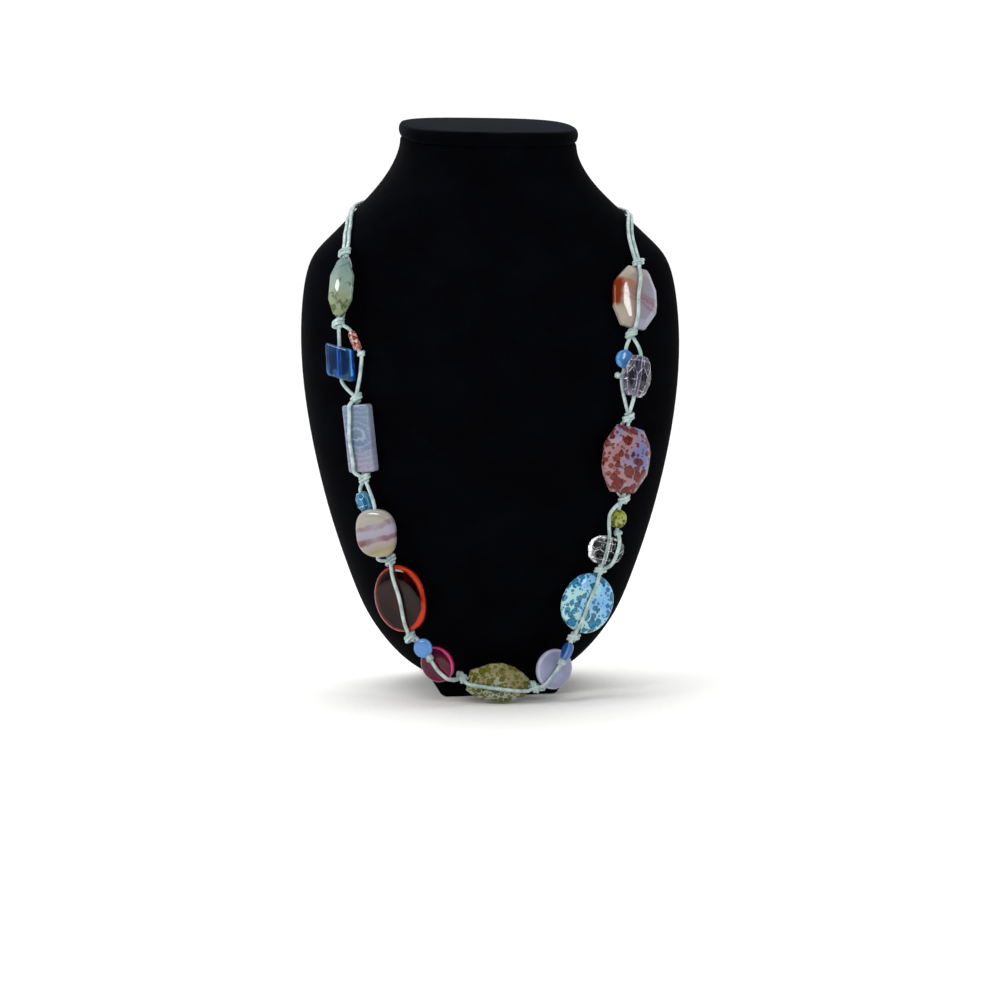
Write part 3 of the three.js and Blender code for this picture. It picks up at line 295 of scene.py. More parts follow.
def finish_surface(tree, height, depth, **sockets):
    """Close a material with a Principled surface and the unevenness of a height, depth in mm."""
    inputs = {name.replace("_", " "): value for name, value in sockets.items()}
    inputs["Normal"] = add(tree, "Bump", {
        "Height": height, "Distance": depth * MM, "Strength": 1.0,
    })
    add(tree, "OutputMaterial", {"Surface": add(tree, "BsdfPrincipled", inputs)})


def model_place(tree):
    """Millimetres in the model's frame."""
    return add(tree, "VectorMath", {
        0: add(tree, "TexCoord", {}, "Object"), "Scale": 1 / MM,
    }, operation="SCALE")


def bead_place(tree, bead):
    """Millimetres in the bead's own frame: across, through from the front, and along the hole."""
    middle, turn = BEADS[bead][1:]
    return add(tree, "Mapping", {
        "Vector": add(tree, "TexCoord", {}, "Object"),
        "Location": [value * MM for value in middle],
        "Rotation": [math.radians(angle) for angle in turn],
        "Scale": (MM, MM, MM),
    }, vector_type="TEXTURE")


def bead_rim(tree, bead, place):
    """Nought at the bead's middle and one at its outline."""
    width, _, length = BEADS[bead][0]
    shares = add(tree, "VectorMath", {
        0: place, 1: (2 / width, 0.0, 2 / length),
    }, operation="MULTIPLY")
    return add(tree, "VectorMath", {0: shares}, "Value", operation="LENGTH")


def slant(tree, place, across, along, wobble=0.0, by=None, span=None):
    """A height in millimetres over the bead along a slanting line, shaken by a noise.

    With a span it is the share of the way from the span's first height to its second.
    """
    height = add(tree, "VectorMath", {
        0: place, 1: (across, 0.0, along),
    }, "Value", operation="DOT_PRODUCT")
    if wobble:
        height = add(tree, "Math", {0: by, 1: wobble, 2: height}, operation="MULTIPLY_ADD")
    if span:
        height = add(tree, "MapRange", {"Value": height, "From Min": span[0], "From Max": span[1]})
    return height


def paint_over(tree, under, value, stops, over, share=None):
    """Lay a colour over another one as thickly as a value's stops say, or a share of that."""
    amount = add(tree, "ValToRGB", {"Fac": value}, stops=stops)
    if share:
        amount = add(tree, "Math", {0: amount, 1: share}, operation="MULTIPLY")
    return add(tree, "Mix", {
        "Factor_Float": amount, "A_Color": under, "B_Color": over,
    }, "Result_Color", data_type="RGBA")


def velvet_material(name, pile, sheen):
    """Cotton velvet over a form: a deep black pile whose tips catch a faint cool sheen."""
    material, tree = blank_material(name)
    place = model_place(tree)
    nap = add(tree, "TexNoise", {"Vector": place, "Scale": 1 / 22, "Detail": 3.0, "Roughness": 0.6})
    fibre = add(tree, "TexNoise", {"Vector": place, "Scale": 1 / 0.45, "Roughness": 0.7})
    colour = add(tree, "ValToRGB", {"Fac": nap}, stops=[(0.35, pile), (0.7, "#040509")])
    finish_surface(
        tree, fibre, 0.09, Base_Color=colour, Roughness=0.95, Specular_IOR_Level=0.02,
        Sheen_Weight=sheen, Sheen_Roughness=0.35, Sheen_Tint="#8090A8",
    )
    return material


def cord_material(colour):
    """Waxed polyester cord: smooth and pale, with a soft gloss and the lay of its yarns."""
    material, tree = blank_material("Waxed polyester cord")
    place = model_place(tree)
    patchy_noise = add(tree, "TexNoise", {"Vector": place, "Scale": 1 / 4, "Detail": 3.0})
    yarn = add(tree, "TexNoise", {"Vector": place, "Scale": 1 / 0.5, "Roughness": 0.6})
    tint = add(tree, "ValToRGB", {"Fac": patchy_noise}, stops=[(0.35, "#93ABAA"), (0.62, colour)])
    # The darker blue-grey follows the yarns' grain, and is partly their own lay and partly painted
    # shade between them.
    shaded = paint_over(tree, tint, yarn, [(0.42, 0.45), (0.58, 0.0)], "#66807F")
    finish_surface(
        tree, yarn, 0.07, Base_Color=shaded, Roughness=0.36, Subsurface_Weight=0.1,
        Subsurface_Radius=(0.001, 0.001, 0.001),
    )
    return material


# Plain tinted beads: material name, colour of the body and of the rim, how clear each of them is,
# roughness, and IOR. The rim is paler and less clear than the body: a painted highlight, light
# caught in the glass's edge. The see-through ones are set under real glass, or they gather more
# of the white room than the photographed ones do.
TINTED = {
    "blue_slab_bead": ("Sapphire blue cast glass", "#3E86DE", "#4FA4EA", 0.955, 0.92, 0.01, 1.42),
    "aqua_faceted_bead": ("Aqua cut glass", "#2C9CCE", "#7CCBEA", 0.65, 0.45, 0.03, 1.5),
    "red_oval_bead": ("Red translucent glass", "#A82A12", "#F0441E", 0.995, 0.45, 0.02, 1.3),
    "blue_coin_bead": ("Cornflower blue glass", "#5C96DA", "#7DB6F0", 0.3, 0.25, 0.12, 1.5),
    "magenta_disc_bead": ("Magenta glass", "#B82C66", "#E85088", 0.88, 0.45, 0.02, 1.36),
    "lilac_disc_bead": ("Lilac opal glass", "#A2A6C8", "#D0CEE0", 0.3, 0.2, 0.12, 1.5),
    "navy_coin_bead": ("Deep blue glass", "#2E62B0", "#6AA6E6", 0.55, 0.35, 0.05, 1.5),
    "clear_rondelle_bead": ("Clear cut crystal", "#F2F4F6", "#FFFFFF", 1.0, 0.97, 0.0, 1.22),
    "smoky_faceted_bead": ("Smoky violet cut glass", "#9A90AA", "#C4BED0", 0.95, 0.85, 0.01, 1.4),
    "pale_blue_coin_bead": ("Pale blue opal glass", "#4A92DA", "#6FB8F2", 0.3, 0.25, 0.12, 1.5),
}


def tinted_material(bead):
    """Glass that is see-through in the middle, with its edge painted paler and less clear as a
    highlight.
    """
    name, body, rim, clear, rim_clear, roughness, index = TINTED[bead]
    material, tree = blank_material(name)
    place = bead_place(tree, bead)
    cloud = add(tree, "TexNoise", {"Vector": place, "Scale": 1 / 6, "Detail": 3.0})
    swell = add(tree, "TexNoise", {"Vector": place, "Scale": 1 / 3})
    uneven = add(tree, "Math", {
        0: cloud, 1: 0.12, 2: bead_rim(tree, bead, place),
    }, operation="MULTIPLY_ADD")
    near = add(tree, "MapRange", {"Value": uneven, "From Min": 0.92, "From Max": 1.06})
    # The rim's painted highlight is strongest at its front and back edges, and weaker between them.
    thickness = BEADS[bead][0][1]
    through = add(tree, "VectorMath", {
        0: place, 1: (0.0, 1.0, 0.0),
    }, "Value", operation="DOT_PRODUCT")
    depth = add(tree, "Math", {0: through}, operation="ABSOLUTE")
    outer = add(tree, "MapRange", {
        "Value": depth, "From Min": 0.1 * thickness, "From Max": 0.3 * thickness, "To Min": 0.3,
    })
    near = add(tree, "Math", {0: near, 1: outer}, operation="MULTIPLY")
    # The rim's colour and clearness paint the bright edge of the glass: a painted highlight, not
    # its tint.
    colour = add(tree, "ValToRGB", {"Fac": near}, stops=[(0.15, body), (0.7, rim)])
    share = add(tree, "ValToRGB", {"Fac": near}, stops=[(0.15, clear), (0.7, rim_clear)])
    finish_surface(
        tree, swell, 0.03, Base_Color=colour, Roughness=roughness, IOR=index,
        Transmission_Weight=share,
    )
    return material


def agate_material(bead):
    """Pale green moss agate: cloudy grey-green stone with dark green inclusions low down."""
    material, tree = blank_material("Pale green moss agate")
    place = bead_place(tree, bead)
    cloud = add(tree, "TexNoise", {"Vector": place, "Scale": 1 / 5, "Detail": 4.0})
    moss = add(tree, "TexNoise", {
        "Vector": place, "Scale": 1 / 3.4, "Detail": 3.0, "Distortion": 0.5,
    })
    ground = add(tree, "ValToRGB", {
        "Fac": slant(tree, place, 0.15, 1.0, 9.0, cloud, (-10.0, 18.0)),
    }, stops=[(0.1, "#85916A"), (0.35, "#8E9C80"), (0.6, "#8DA198"), (0.9, "#7C9892")])
    low = slant(tree, place, 0.5, 1.0, span=(-1.5, -7.0))
    patches = add(tree, "Math", {0: low, 1: 0.17, 2: moss}, operation="MULTIPLY_ADD")
    stained = paint_over(tree, ground, patches, [(0.6, 0.0), (0.72, 0.85)], "#3F5630")
    arc = slant(tree, place, -0.6, 1.0, 4.0, cloud, (9.0, 15.0))
    colour = paint_over(tree, stained, arc, [(0.4, 0.0), (0.5, 0.7), (0.6, 0.0)], "#4C665C")
    finish_surface(tree, cloud, 0.02, Base_Color=colour, Roughness=0.05, Transmission_Weight=0.25)
    return material


def mottled_pink_material(bead):
    """Pinkish white glass rolled in red-brown crumbs."""
    material, tree = blank_material("Mottled pink glass")
    place = bead_place(tree, bead)
    crumbs = add(tree, "TexNoise", {
        "Vector": place, "Scale": 1 / 1.6, "Detail": 3.0, "Roughness": 0.6, "Distortion": 0.4,
    })
    colour = add(tree, "ValToRGB", {"Fac": crumbs}, stops=[
        (0.4, "#C9B6B2"), (0.48, "#A86A5C"), (0.55, "#7A2E20"), (0.66, "#4E1C16"),
    ])
    finish_surface(tree, crumbs, 0.05, Base_Color=colour, Roughness=0.12)
    return material


def lace_material(bead):
    """Blue lace agate: grey-blue stone with paler bands bent round an eye, pinkish below."""
    material, tree = blank_material("Blue lace agate")
    place = bead_place(tree, bead)
    warp = add(tree, "TexNoise", {"Vector": place, "Scale": 1 / 7, "Detail": 3.0})
    grain = add(tree, "TexNoise", {
        "Vector": place, "Scale": 1 / 0.8, "Detail": 3.0, "Roughness": 0.7,
    })
    # The rings are wider than tall, round a point a little above the middle.
    bent = add(tree, "VectorMath", {0: place, 1: (1.0, 0.3, 1.7), 2: (0.0, 0.0, -2.6)},
               operation="MULTIPLY_ADD")
    ring = add(tree, "VectorMath", {0: bent}, "Value", operation="LENGTH")
    far = add(tree, "Math", {0: warp, 1: 11.0, 2: ring}, operation="MULTIPLY_ADD")
    wave = add(tree, "Math", {
        0: add(tree, "Math", {0: far, 1: 1.35}, operation="MULTIPLY"),
    }, operation="SINE")
    near = add(tree, "ValToRGB", {
        "Fac": add(tree, "MapRange", {"Value": far, "From Min": 3.0, "From Max": 17.0}),
    }, stops=[(0.1, 0.95), (0.9, 0.2)])
    ground = add(tree, "ValToRGB", {
        "Fac": slant(tree, place, 0.2, 1.0, 8.0, warp, (-13.0, 12.0)),
    }, stops=[(0.1, "#837C90"), (0.4, "#737C94"), (0.55, "#5B6D8D"), (1.0, "#71829B")])
    banded = paint_over(tree, ground, wave, [(0.1, 0.0), (0.7, 0.95)], "#A5B3C8", near)
    dusted = paint_over(tree, banded, grain, [(0.52, 0.0), (0.68, 0.4)], "#A9B5C6")
    aside = add(tree, "Math", {0: slant(tree, place, 1.0, 0.0)}, operation="ABSOLUTE")
    edge = add(tree, "MapRange", {"Value": aside, "From Min": 5.4, "From Max": 7.2})
    colour = paint_over(tree, dusted, edge, [(0.3, 0.0), (0.7, 0.4)], "#989AAC")
    finish_surface(tree, warp, 0.03, Base_Color=colour, Roughness=0.14, Transmission_Weight=0.15)
    return material


def banded_pebble_material(bead):
    """Cream glass pebble trailed with lavender and red-brown bands that climb to the right."""
    material, tree = blank_material("Banded cream glass")
    place = bead_place(tree, bead)
    warp = add(tree, "TexNoise", {"Vector": place, "Scale": 1 / 6, "Detail": 4.0})
    share = slant(tree, place, -0.3, 0.95, 5.0, warp, (-9.0, 14.0))
    ground = add(tree, "ValToRGB", {"Fac": share}, stops=[
        (0.0, "#948F7F"), (0.13, "#867C56"), (0.24, "#8D8383"), (0.45, "#8D8697"),
        (0.62, "#8E8897"), (0.76, "#918A7E"), (1.0, "#959590"),
    ])
    fading = add(tree, "ValToRGB", {
        "Fac": slant(tree, place, 1.0, 0.0, 8.0, warp, (-8.0, 12.0)),
    }, stops=[(0.3, 1.0), (0.65, 0.35), (0.9, 0.85)])
    banded = paint_over(tree, ground, share, [
        (0.28, 0.0), (0.34, 0.9), (0.42, 0.8), (0.46, 0.1), (0.58, 0.0), (0.63, 0.5), (0.68, 0.45),
        (0.72, 0.0),
    ], "#561712", fading)
    rim = bead_rim(tree, bead, place)
    colour = paint_over(tree, banded, rim, [(1.0, 0.0), (1.0, 0.4)], "#C0BEB9")
    finish_surface(tree, warp, 0.05, Base_Color=colour, Roughness=0.06)
    return material


# Spotted glass: material name, ground colours, how clear the glass is, how much the ground changes
# across and along the bead, and layers of spots. A layer has the spots' spacing in millimetres,
# how far they spread, two colours of its spots and the colour of their edges.
SPOTTED = {
    "olive_faceted_bead": (
        "Olive spotted glass", ("#9A9060", "#A9A982", "#B8C0AC"), 0.35, 0.03, 0.0, [
            (1.6, 0.48, ("#6E6A0C", "#7C7714"), "#4C4A08"),
            (2.7, 0.54, ("#7A7606", "#5C6406"), "#454A05"),
            (4.0, 0.54, ("#7A7F05", "#565E05"), "#3E4403"),
        ],
    ),
    "sky_spotted_bead": (
        "Sky blue spotted glass", ("#AEDADC", "#9CD3EE", "#84BEF0"), 0.1, 0.003, 0.012, [
            (2.0, 0.46, ("#1C82A2", "#1074A0"), "#0A5C7E"),
            (3.4, 0.5, ("#0C7CA6", "#066C9C"), "#045474"),
            (5.6, 0.5, ("#087CAA", "#046894"), "#034C6E"),
        ],
    ),
    "green_coin_bead": (
        "Green mottled glass", ("#85891A", "#989D34", "#ADB161"), 0.2, 0.0, 0.0, [
            (1.8, 0.48, ("#465010", "#575A13"), "#373D09"),
            (3.0, 0.5, ("#40490C", "#545711"), "#313708"),
        ],
    ),
    "red_spotted_bead": (
        "Red spotted glass", ("#9E7577", "#977E8F", "#787AA7"), 0.1, 0.014, 0.004, [
            (2.2, 0.46, ("#68373B", "#542F4E"), "#431F30"),
            (3.6, 0.54, ("#803321", "#6C2219"), "#571611"),
            (5.8, 0.56, ("#722213", "#570E08"), "#430806"),
        ],
    ),
}


def add_spots(tree, place, width, cover, tones, edge, under):
    """Round spots of several sizes, each with a darker edge, melted over a ground."""
    cells = {"Vector": place, "Scale": 1 / width, "Randomness": 1.0}
    chance = add(tree, "TexVoronoi", cells, "Color", feature="F1")
    size = add(tree, "MapRange", {
        "Value": add(tree, "SeparateColor", {"Color": chance}, "Red"), "To Min": 0.5, "To Max": 1.0,
    })
    reach = add(tree, "Math", {
        0: add(tree, "TexVoronoi", cells, "Distance", feature="F1"), 1: size,
    }, operation="DIVIDE")
    rough = add(tree, "TexNoise", {"Vector": place, "Scale": 3 / width})
    shaken = add(tree, "Math", {0: rough, 1: 0.3, 2: reach}, operation="MULTIPLY_ADD")
    middle = add(tree, "Mix", {
        "Factor_Float": add(tree, "SeparateColor", {"Color": chance}, "Green"),
        "A_Color": tones[0], "B_Color": tones[1],
    }, "Result_Color", data_type="RGBA")
    ringed = paint_over(tree, middle, shaken, [(cover - 0.04, 0.0), (cover + 0.08, 1.0)], edge)
    return paint_over(tree, under, shaken, [(cover + 0.08, 0.9), (cover + 0.15, 0.0)], ringed)


def spotted_material(bead):
    """Marbled glass with round spots of other colours melted into it."""
    name, grounds, clear, across, along, layers = SPOTTED[bead]
    material, tree = blank_material(name)
    place = bead_place(tree, bead)
    cloud = add(tree, "TexNoise", {"Vector": place, "Scale": 1 / 8, "Detail": 3.0})
    drift = add(tree, "Math", {0: slant(tree, place, across, along), 1: cloud}, operation="ADD")
    colour = add(tree, "ValToRGB", {"Fac": drift}, stops=[
        (0.36, grounds[0]), (0.5, grounds[1]), (0.64, grounds[2]),
    ])
    for layer in layers:
        colour = add_spots(tree, place, *layer, colour)
    # An IOR under real glass keeps the white floor's reflection from washing the spots out.
    finish_surface(
        tree, cloud, 0.03, Base_Color=colour, Roughness=0.05, IOR=1.32, Transmission_Weight=clear,
    )
    return material


def pink_banded_material(bead):
    """Cast glass with a cream top, a pink middle, a lavender side and an orange-red facet."""
    material, tree = blank_material("Pink banded glass")
    place = bead_place(tree, bead)
    warp = add(tree, "TexNoise", {"Vector": place, "Scale": 1 / 5, "Detail": 3.0})
    along = slant(tree, place, 0.3, 1.0, 6.0, warp, (-8.0, 14.0))
    ground = add(tree, "ValToRGB", {
        "Fac": slant(tree, place, 1.0, -0.1, 6.0, warp, (-8.0, 14.0)),
    }, stops=[(0.2, "#9D9486"), (0.45, "#9F8881"), (0.62, "#928D9B"), (0.85, "#9292A4")])
    banded = paint_over(tree, ground, along, [
        (0.3, 0.0), (0.38, 0.6), (0.42, 0.1), (0.5, 0.75), (0.55, 0.3), (0.6, 0.55), (0.72, 0.0),
    ], "#855060")
    from_left = slant(tree, place, 1.0, -0.1, 6.0, warp, (5.0, -4.0))
    orange = paint_over(tree, banded, along, [
        (0.5, 0.0), (0.72, 0.75), (0.8, 0.0),
    ], "#9F5B3A", from_left)
    upright = slant(tree, place, 0.0, 1.0, span=(-9.0, 11.0))
    facet = slant(tree, place, 1.0, 0.0, 2.0, warp, (-7.0, -9.0))
    colour = paint_over(tree, orange, upright, [
        (0.1, 0.0), (0.2, 1.0), (0.8, 1.0), (0.92, 0.0),
    ], "#782A0C", facet)
    finish_surface(tree, warp, 0.03, Base_Color=colour, Roughness=0.06, Transmission_Weight=0.1)
    return material


def edge_material():
    """Facet edges of cut crystal, painted whiter and less clear than the glass, so that each shows
    a thin white line: a painted highlight.
    """
    material, tree = blank_material("Crystal edges, painted highlight")
    patchy_noise = add(tree, "TexNoise", {"Vector": model_place(tree), "Scale": 1 / 1.5, "Detail": 2.0})
    # The whiter, less clear share of the edges is the painted highlight.
    share = add(tree, "ValToRGB", {"Fac": patchy_noise}, stops=[(0.42, 0.95), (0.6, 0.35)])
    finish_surface(
        tree, patchy_noise, 0.02, Base_Color="#E8ECF2", Roughness=0.25, IOR=1.3, Transmission_Weight=share,
    )
    return material


OWN_FINISH = {
    "green_faceted_bead": agate_material,
    "small_mottled_bead": mottled_pink_material,
    "lace_bar_bead": lace_material,
    "banded_pebble_bead": banded_pebble_material,
    "pink_banded_bead": pink_banded_material,
}


def bead_material(bead):
    """The bead's own finish, or spotted glass, or plain tinted glass."""
    if bead in OWN_FINISH:
        return OWN_FINISH[bead](bead)
    return spotted_material(bead) if bead in SPOTTED else tinted_material(bead)


# Stage


def aimed(place, aim):
    """The turn that points a camera or lamp from its place at an aim."""
    return (Vector(aim) - Vector(place)).to_track_quat("-Z", "Y").to_euler()


# Lamps that face the bust's middle: place, width, height and watts.
LAMP_AIM = (0, 0, 0.12)
LAMPS = {
    "key_softbox": ((-1.02, -0.60, 0.70), 0.4, 0.4, 7.5),
    "front_fill": ((-0.1, -1.5, 1.1), 0.9, 0.5, 3.5),
    "right_strip": ((0.9, -1.0, 0.6), 0.15, 0.6, 4),
}
# The ceiling's glow: strength, and how far it leans back and how wide it spreads, in degrees.
CEILING_STRENGTH, CEILING_LEAN, CEILING_SPREAD = 1.5, -20, 70
# The floor reaches six metres each way and lies a hair under the foot.
FLOOR_REACH, FLOOR_DROP = 6, 0.2 * MM


def area_light(name, place, width, height, watts):
    """Add a rectangular lamp that faces the bust's middle."""
    bpy.ops.object.light_add(type="AREA", location=place)
    light = bpy.context.object
    light.name = name
    light.data.shape = "RECTANGLE"
    light.data.size = width
    light.data.size_y = height
    light.data.energy = watts
    light.rotation_euler = aimed(place, LAMP_AIM)


def stage_material():
    """Matt white paper with the faintest tooth."""
    material, tree = blank_material("White paper")
    tooth = add(tree, "TexNoise", {"Vector": model_place(tree), "Scale": 1 / 2})
    colour = add(tree, "ValToRGB", {"Fac": tooth}, stops=[(0.3, "#F6F6F4"), (0.7, "#FCFCFA")])
    finish_surface(tree, tooth, 0.02, Base_Color=colour, Roughness=0.9, Specular_IOR_Level=0.2)
    return material


class StageSizes(bpy.types.PropertyGroup):
    """The camera's place and the strength of the light."""

    eye: bpy.props.FloatVectorProperty(
        name="Camera place", description="Where the camera stands",
        default=(-0.1524, -1.0676, 0.2000), subtype="XYZ", unit="LENGTH",
    )
    aim: bpy.props.FloatVectorProperty(
        name="Camera aim", description="The point the camera looks at",
        default=(0.00632, 0.01672, 0.09565), subtype="XYZ", unit="LENGTH",
    )
    lens: bpy.props.FloatProperty(
        name="Lens", description="Focal length of the camera in millimetres", default=75.6,
    )
    daylight: bpy.props.FloatProperty(
        name="Room light", description="Strength of the white room round the bust", default=1.05,
    )


class NecklaceSizes(bpy.types.PropertyGroup):
    """Sizes of the cords, their knots and the holes, and the colours of cord and velvet."""

    cord: bpy.props.FloatProperty(
        name="Cord", description="Diameter of each of the two cords",
        default=1.8 * MM, unit="LENGTH", precision=5,
    )
    hole: bpy.props.FloatProperty(
        name="Hole", description="Diameter of the hole through each bead",
        default=2.4 * MM, unit="LENGTH", precision=5,
    )
    turns: bpy.props.FloatProperty(
        name="Knot turns", description="Turns of cord seen round a large knot", default=2.6,
    )
    cord_colour: bpy.props.StringProperty(
        name="Cord colour", description="Colour of the cord's high side, as a hex value",
        default="#C6D8D5",
    )
    pile_colour: bpy.props.StringProperty(
        name="Velvet colour", description="Colour of the velvet's deep pile, as a hex value",
        default="#020204",
    )


class NECKLACE_OT_stage(bpy.types.Operator):
    """Set up the camera, the floor and soft studio lights"""

    bl_idname = "necklace.stage"
    bl_label = "Stage and Camera"

    def execute(self, context):
        sizes = context.scene.necklace_stage
        put_down()
        bpy.ops.object.camera_add(location=sizes.eye)
        camera = context.object
        camera.name = "Camera"
        camera.rotation_euler = aimed(sizes.eye, sizes.aim)
        camera.data.lens = sizes.lens
        camera.data.sensor_width = 36
        camera.data.clip_start = 0.01
        camera.data.clip_end = 50
        context.scene.camera = camera
        context.scene.view_settings.view_transform = "Standard"
        put_down()
        bpy.ops.mesh.primitive_plane_add(size=2, location=(0, 0, -FLOOR_DROP))
        floor = context.object
        floor.name = "floor"
        bpy.ops.object.mode_set(mode="EDIT")
        bpy.ops.mesh.subdivide(number_cuts=3)
        bpy.ops.transform.resize(value=(FLOOR_REACH, FLOOR_REACH, 1))
        bpy.ops.object.mode_set(mode="OBJECT")
        bpy.ops.object.transform_apply(location=True, rotation=True, scale=True)
        floor.data.materials.append(stage_material())
        for name, lamp in LAMPS.items():
            area_light(name, *lamp)
        bpy.ops.object.light_add(type="SUN", rotation=(math.radians(CEILING_LEAN), 0, 0))
        ceiling = context.object
        ceiling.name = "ceiling_glow"
        ceiling.data.energy = CEILING_STRENGTH
        ceiling.data.angle = math.radians(CEILING_SPREAD)
        world = bpy.data.worlds.new("White room")
        context.scene.world = world
        world.use_nodes = True
        tree = world.node_tree
        tree.nodes.clear()
        # The room is bright behind the bust and dimmer in front of it, where the camera stands.
        depth = add(tree, "VectorMath", {
            0: add(tree, "TexCoord", {}, "Generated"), 1: (0.0, 1.0, 0.0),
        }, "Value", operation="DOT_PRODUCT")
        shade = add(tree, "ValToRGB", {
            "Fac": add(tree, "MapRange", {"Value": depth, "From Min": -1.0, "From Max": 1.0}),
        }, stops=[(0.25, 0.07), (0.6, 1.0)])
        room = add(tree, "Background", {"Color": shade, "Strength": sizes.daylight})
        add(tree, "OutputWorld", {"Surface": room})
        return {"FINISHED"}


# Bust

# Each part of the bust: its name in the scene, and its velvet. The cap's pile is brushed up, so
# it catches more light.
BUST = {
    "bust_body": ("velvet_body", "smooth"),
    "neck_cap": ("velvet_cap", "brushed"),
    "bust_foot": ("velvet_foot", "smooth"),
}
# Edges sharper than this many degrees keep a crease while the velvet is smoothed.
CREASE_ANGLE, CREASE = 50, 0.9
# Corners of the solid closer than this are one.
WELD = 0.01 * MM


class NECKLACE_OT_bust(bpy.types.Operator):
    """Dress the bust in velvet and smooth its body, cap and foot"""

    bl_idname = "necklace.bust"
    bl_label = "Velvet Bust"

    def execute(self, context):
        pile = context.scene.necklace_sizes.pile_colour
        velvets = {
            "smooth": velvet_material("Black cotton velvet", pile, 0.004),
            "brushed": velvet_material("Black cotton velvet, brushed up", pile, 0.07),
        }
        for node, (name, velvet) in BUST.items():
            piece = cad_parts[node].copy()
            piece.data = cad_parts[node].data.copy()
            context.collection.objects.link(piece)
            piece.parent = None
            piece.name = name
            take(piece)
            bpy.ops.object.mode_set(mode="EDIT")
            bpy.ops.mesh.select_all(action="SELECT")
            bpy.ops.mesh.remove_doubles(threshold=WELD)
            bpy.ops.mesh.tris_convert_to_quads()
            bpy.ops.mesh.select_all(action="DESELECT")
            bpy.ops.mesh.edges_select_sharp(sharpness=math.radians(CREASE_ANGLE))
            bpy.ops.transform.edge_crease(value=CREASE)
            bpy.ops.object.mode_set(mode="OBJECT")
            round_off(piece, 2)
            take(piece)
            bpy.ops.object.shade_smooth_by_angle(angle=math.radians(CREASE_ANGLE))
            dress(piece, node, velvets[velvet])
        return {"FINISHED"}


# Cords and knots

# Millimetres between the points of a route, and the power of a stretch's length by which the
# curve gives it time: with a half it makes no loops.
ROUTE_STEP, PACE = 1.0, 0.5
# Blender's bevel steps for a cord's round section.
CORD_ROUNDNESS = 3
# Width and height of a knot in millimetres, and how far its turns lean to the side.
LARGE_KNOT = (6.3, 5.8, 0.36)
SMALL_STOP = (4.4, 3.6, 0.3)
STOP_TURNS = 1.7
POINTS_PER_TURN = 20


def point_between(first, second, low, high, at):
    """The point on the line through two points where the parameter has got to at."""
    return first.lerp(second, (at - low) / (high - low))


def smooth_route(places):
    """Points a millimetre apart along a rounded curve through the places of a cord's route."""
    points = [Vector(place[:3]) for place in places]
    ahead = [points[0] * 2 - points[1]] + points + [points[-1] * 2 - points[-2]]
    route = [points[0]]
    for index in range(len(points) - 1):
        near = ahead[index:index + 4]
        before, start, end, after = near
        steps = max(1, round((end - start).length / ROUTE_STEP))
        at = [0.0]
        for first, second in ((before, start), (start, end), (end, after)):
            at.append(at[-1] + max((second - first).length, 0.01) ** PACE)
        for step in range(1, steps + 1):
            share = step / steps
            if STRAIGHT in places[index][3:]:
                route.append(start.lerp(end, share))
                continue
            now = at[1] + (at[2] - at[1]) * share
            lower = [point_between(near[k], near[k + 1], at[k], at[k + 1], now) for k in range(3)]
            upper = [point_between(lower[k], lower[k + 1], at[k], at[k + 2], now) for k in range(2)]
            route.append(point_between(*upper, at[1], at[2], now))
    return route


def cord_mesh(name, route, diameter, tips=None):
    """A round cord along a route in millimetres, made as a curve and turned into a mesh."""
    curve = bpy.data.curves.new(name, "CURVE")
    curve.dimensions = "3D"
    spline = curve.splines.new("POLY")
    spline.points.add(len(route) - 1)
    for index, point in enumerate(route):
        spline.points[index].co = (*(point * MM), 1)
        if tips:
            spline.points[index].radius = tips[index]
    curve.bevel_depth = diameter / 2
    curve.bevel_resolution = CORD_ROUNDNESS
    curve.use_fill_caps = True
    piece = bpy.data.objects.new(name, curve)
    bpy.context.collection.objects.link(piece)
    take(piece)
    bpy.ops.object.convert(target="MESH")
    piece = bpy.context.object
    bpy.ops.object.shade_smooth()
    return piece


def model_knot(name, cord, turns, width, height, lean):
    """A knot drawn tight: turns of cord climb round the strands and tuck in at both ends."""
    radius = (width - cord / MM) / 2
    rise = height - cord / MM
    steps = int(turns * POINTS_PER_TURN)
    first_angle, flatness, swelling = -0.15 * math.pi, 0.9, 0.12
    route, swellings = [], []
    for step in range(steps + 1):
        share = step / steps
        angle = first_angle + share * turns * 2 * math.pi
        # The last fifth of the way at each end draws in to a quarter of the radius.
        tuck = min(1.0, 5 * share + 0.25, 5 * (1 - share) + 0.25)
        x = radius * tuck * math.cos(angle)
        y = radius * tuck * flatness * math.sin(angle)
        route.append(Vector((x, y, (share - 0.5) * rise + lean * x)))
        swellings.append(1.0 + swelling * math.sin(share * math.pi * 5))
    return cord_mesh(name, route, cord, swellings)


def copy_to(master, name, middle, turn):
    """Copy a modelled piece with a mesh of its own and put the copy in its place."""
    piece = master.copy()
    piece.data = master.data.copy()
    bpy.context.collection.objects.link(piece)
    settle(piece, name, middle, turn)
    return piece


def cord_node(middle):
    """The cord node that a knot belongs to, by where its middle is."""
    if middle[1] > 0:
        return "cord_nape"
    return "cord_left" if middle[0] < 0 else "cord_right"


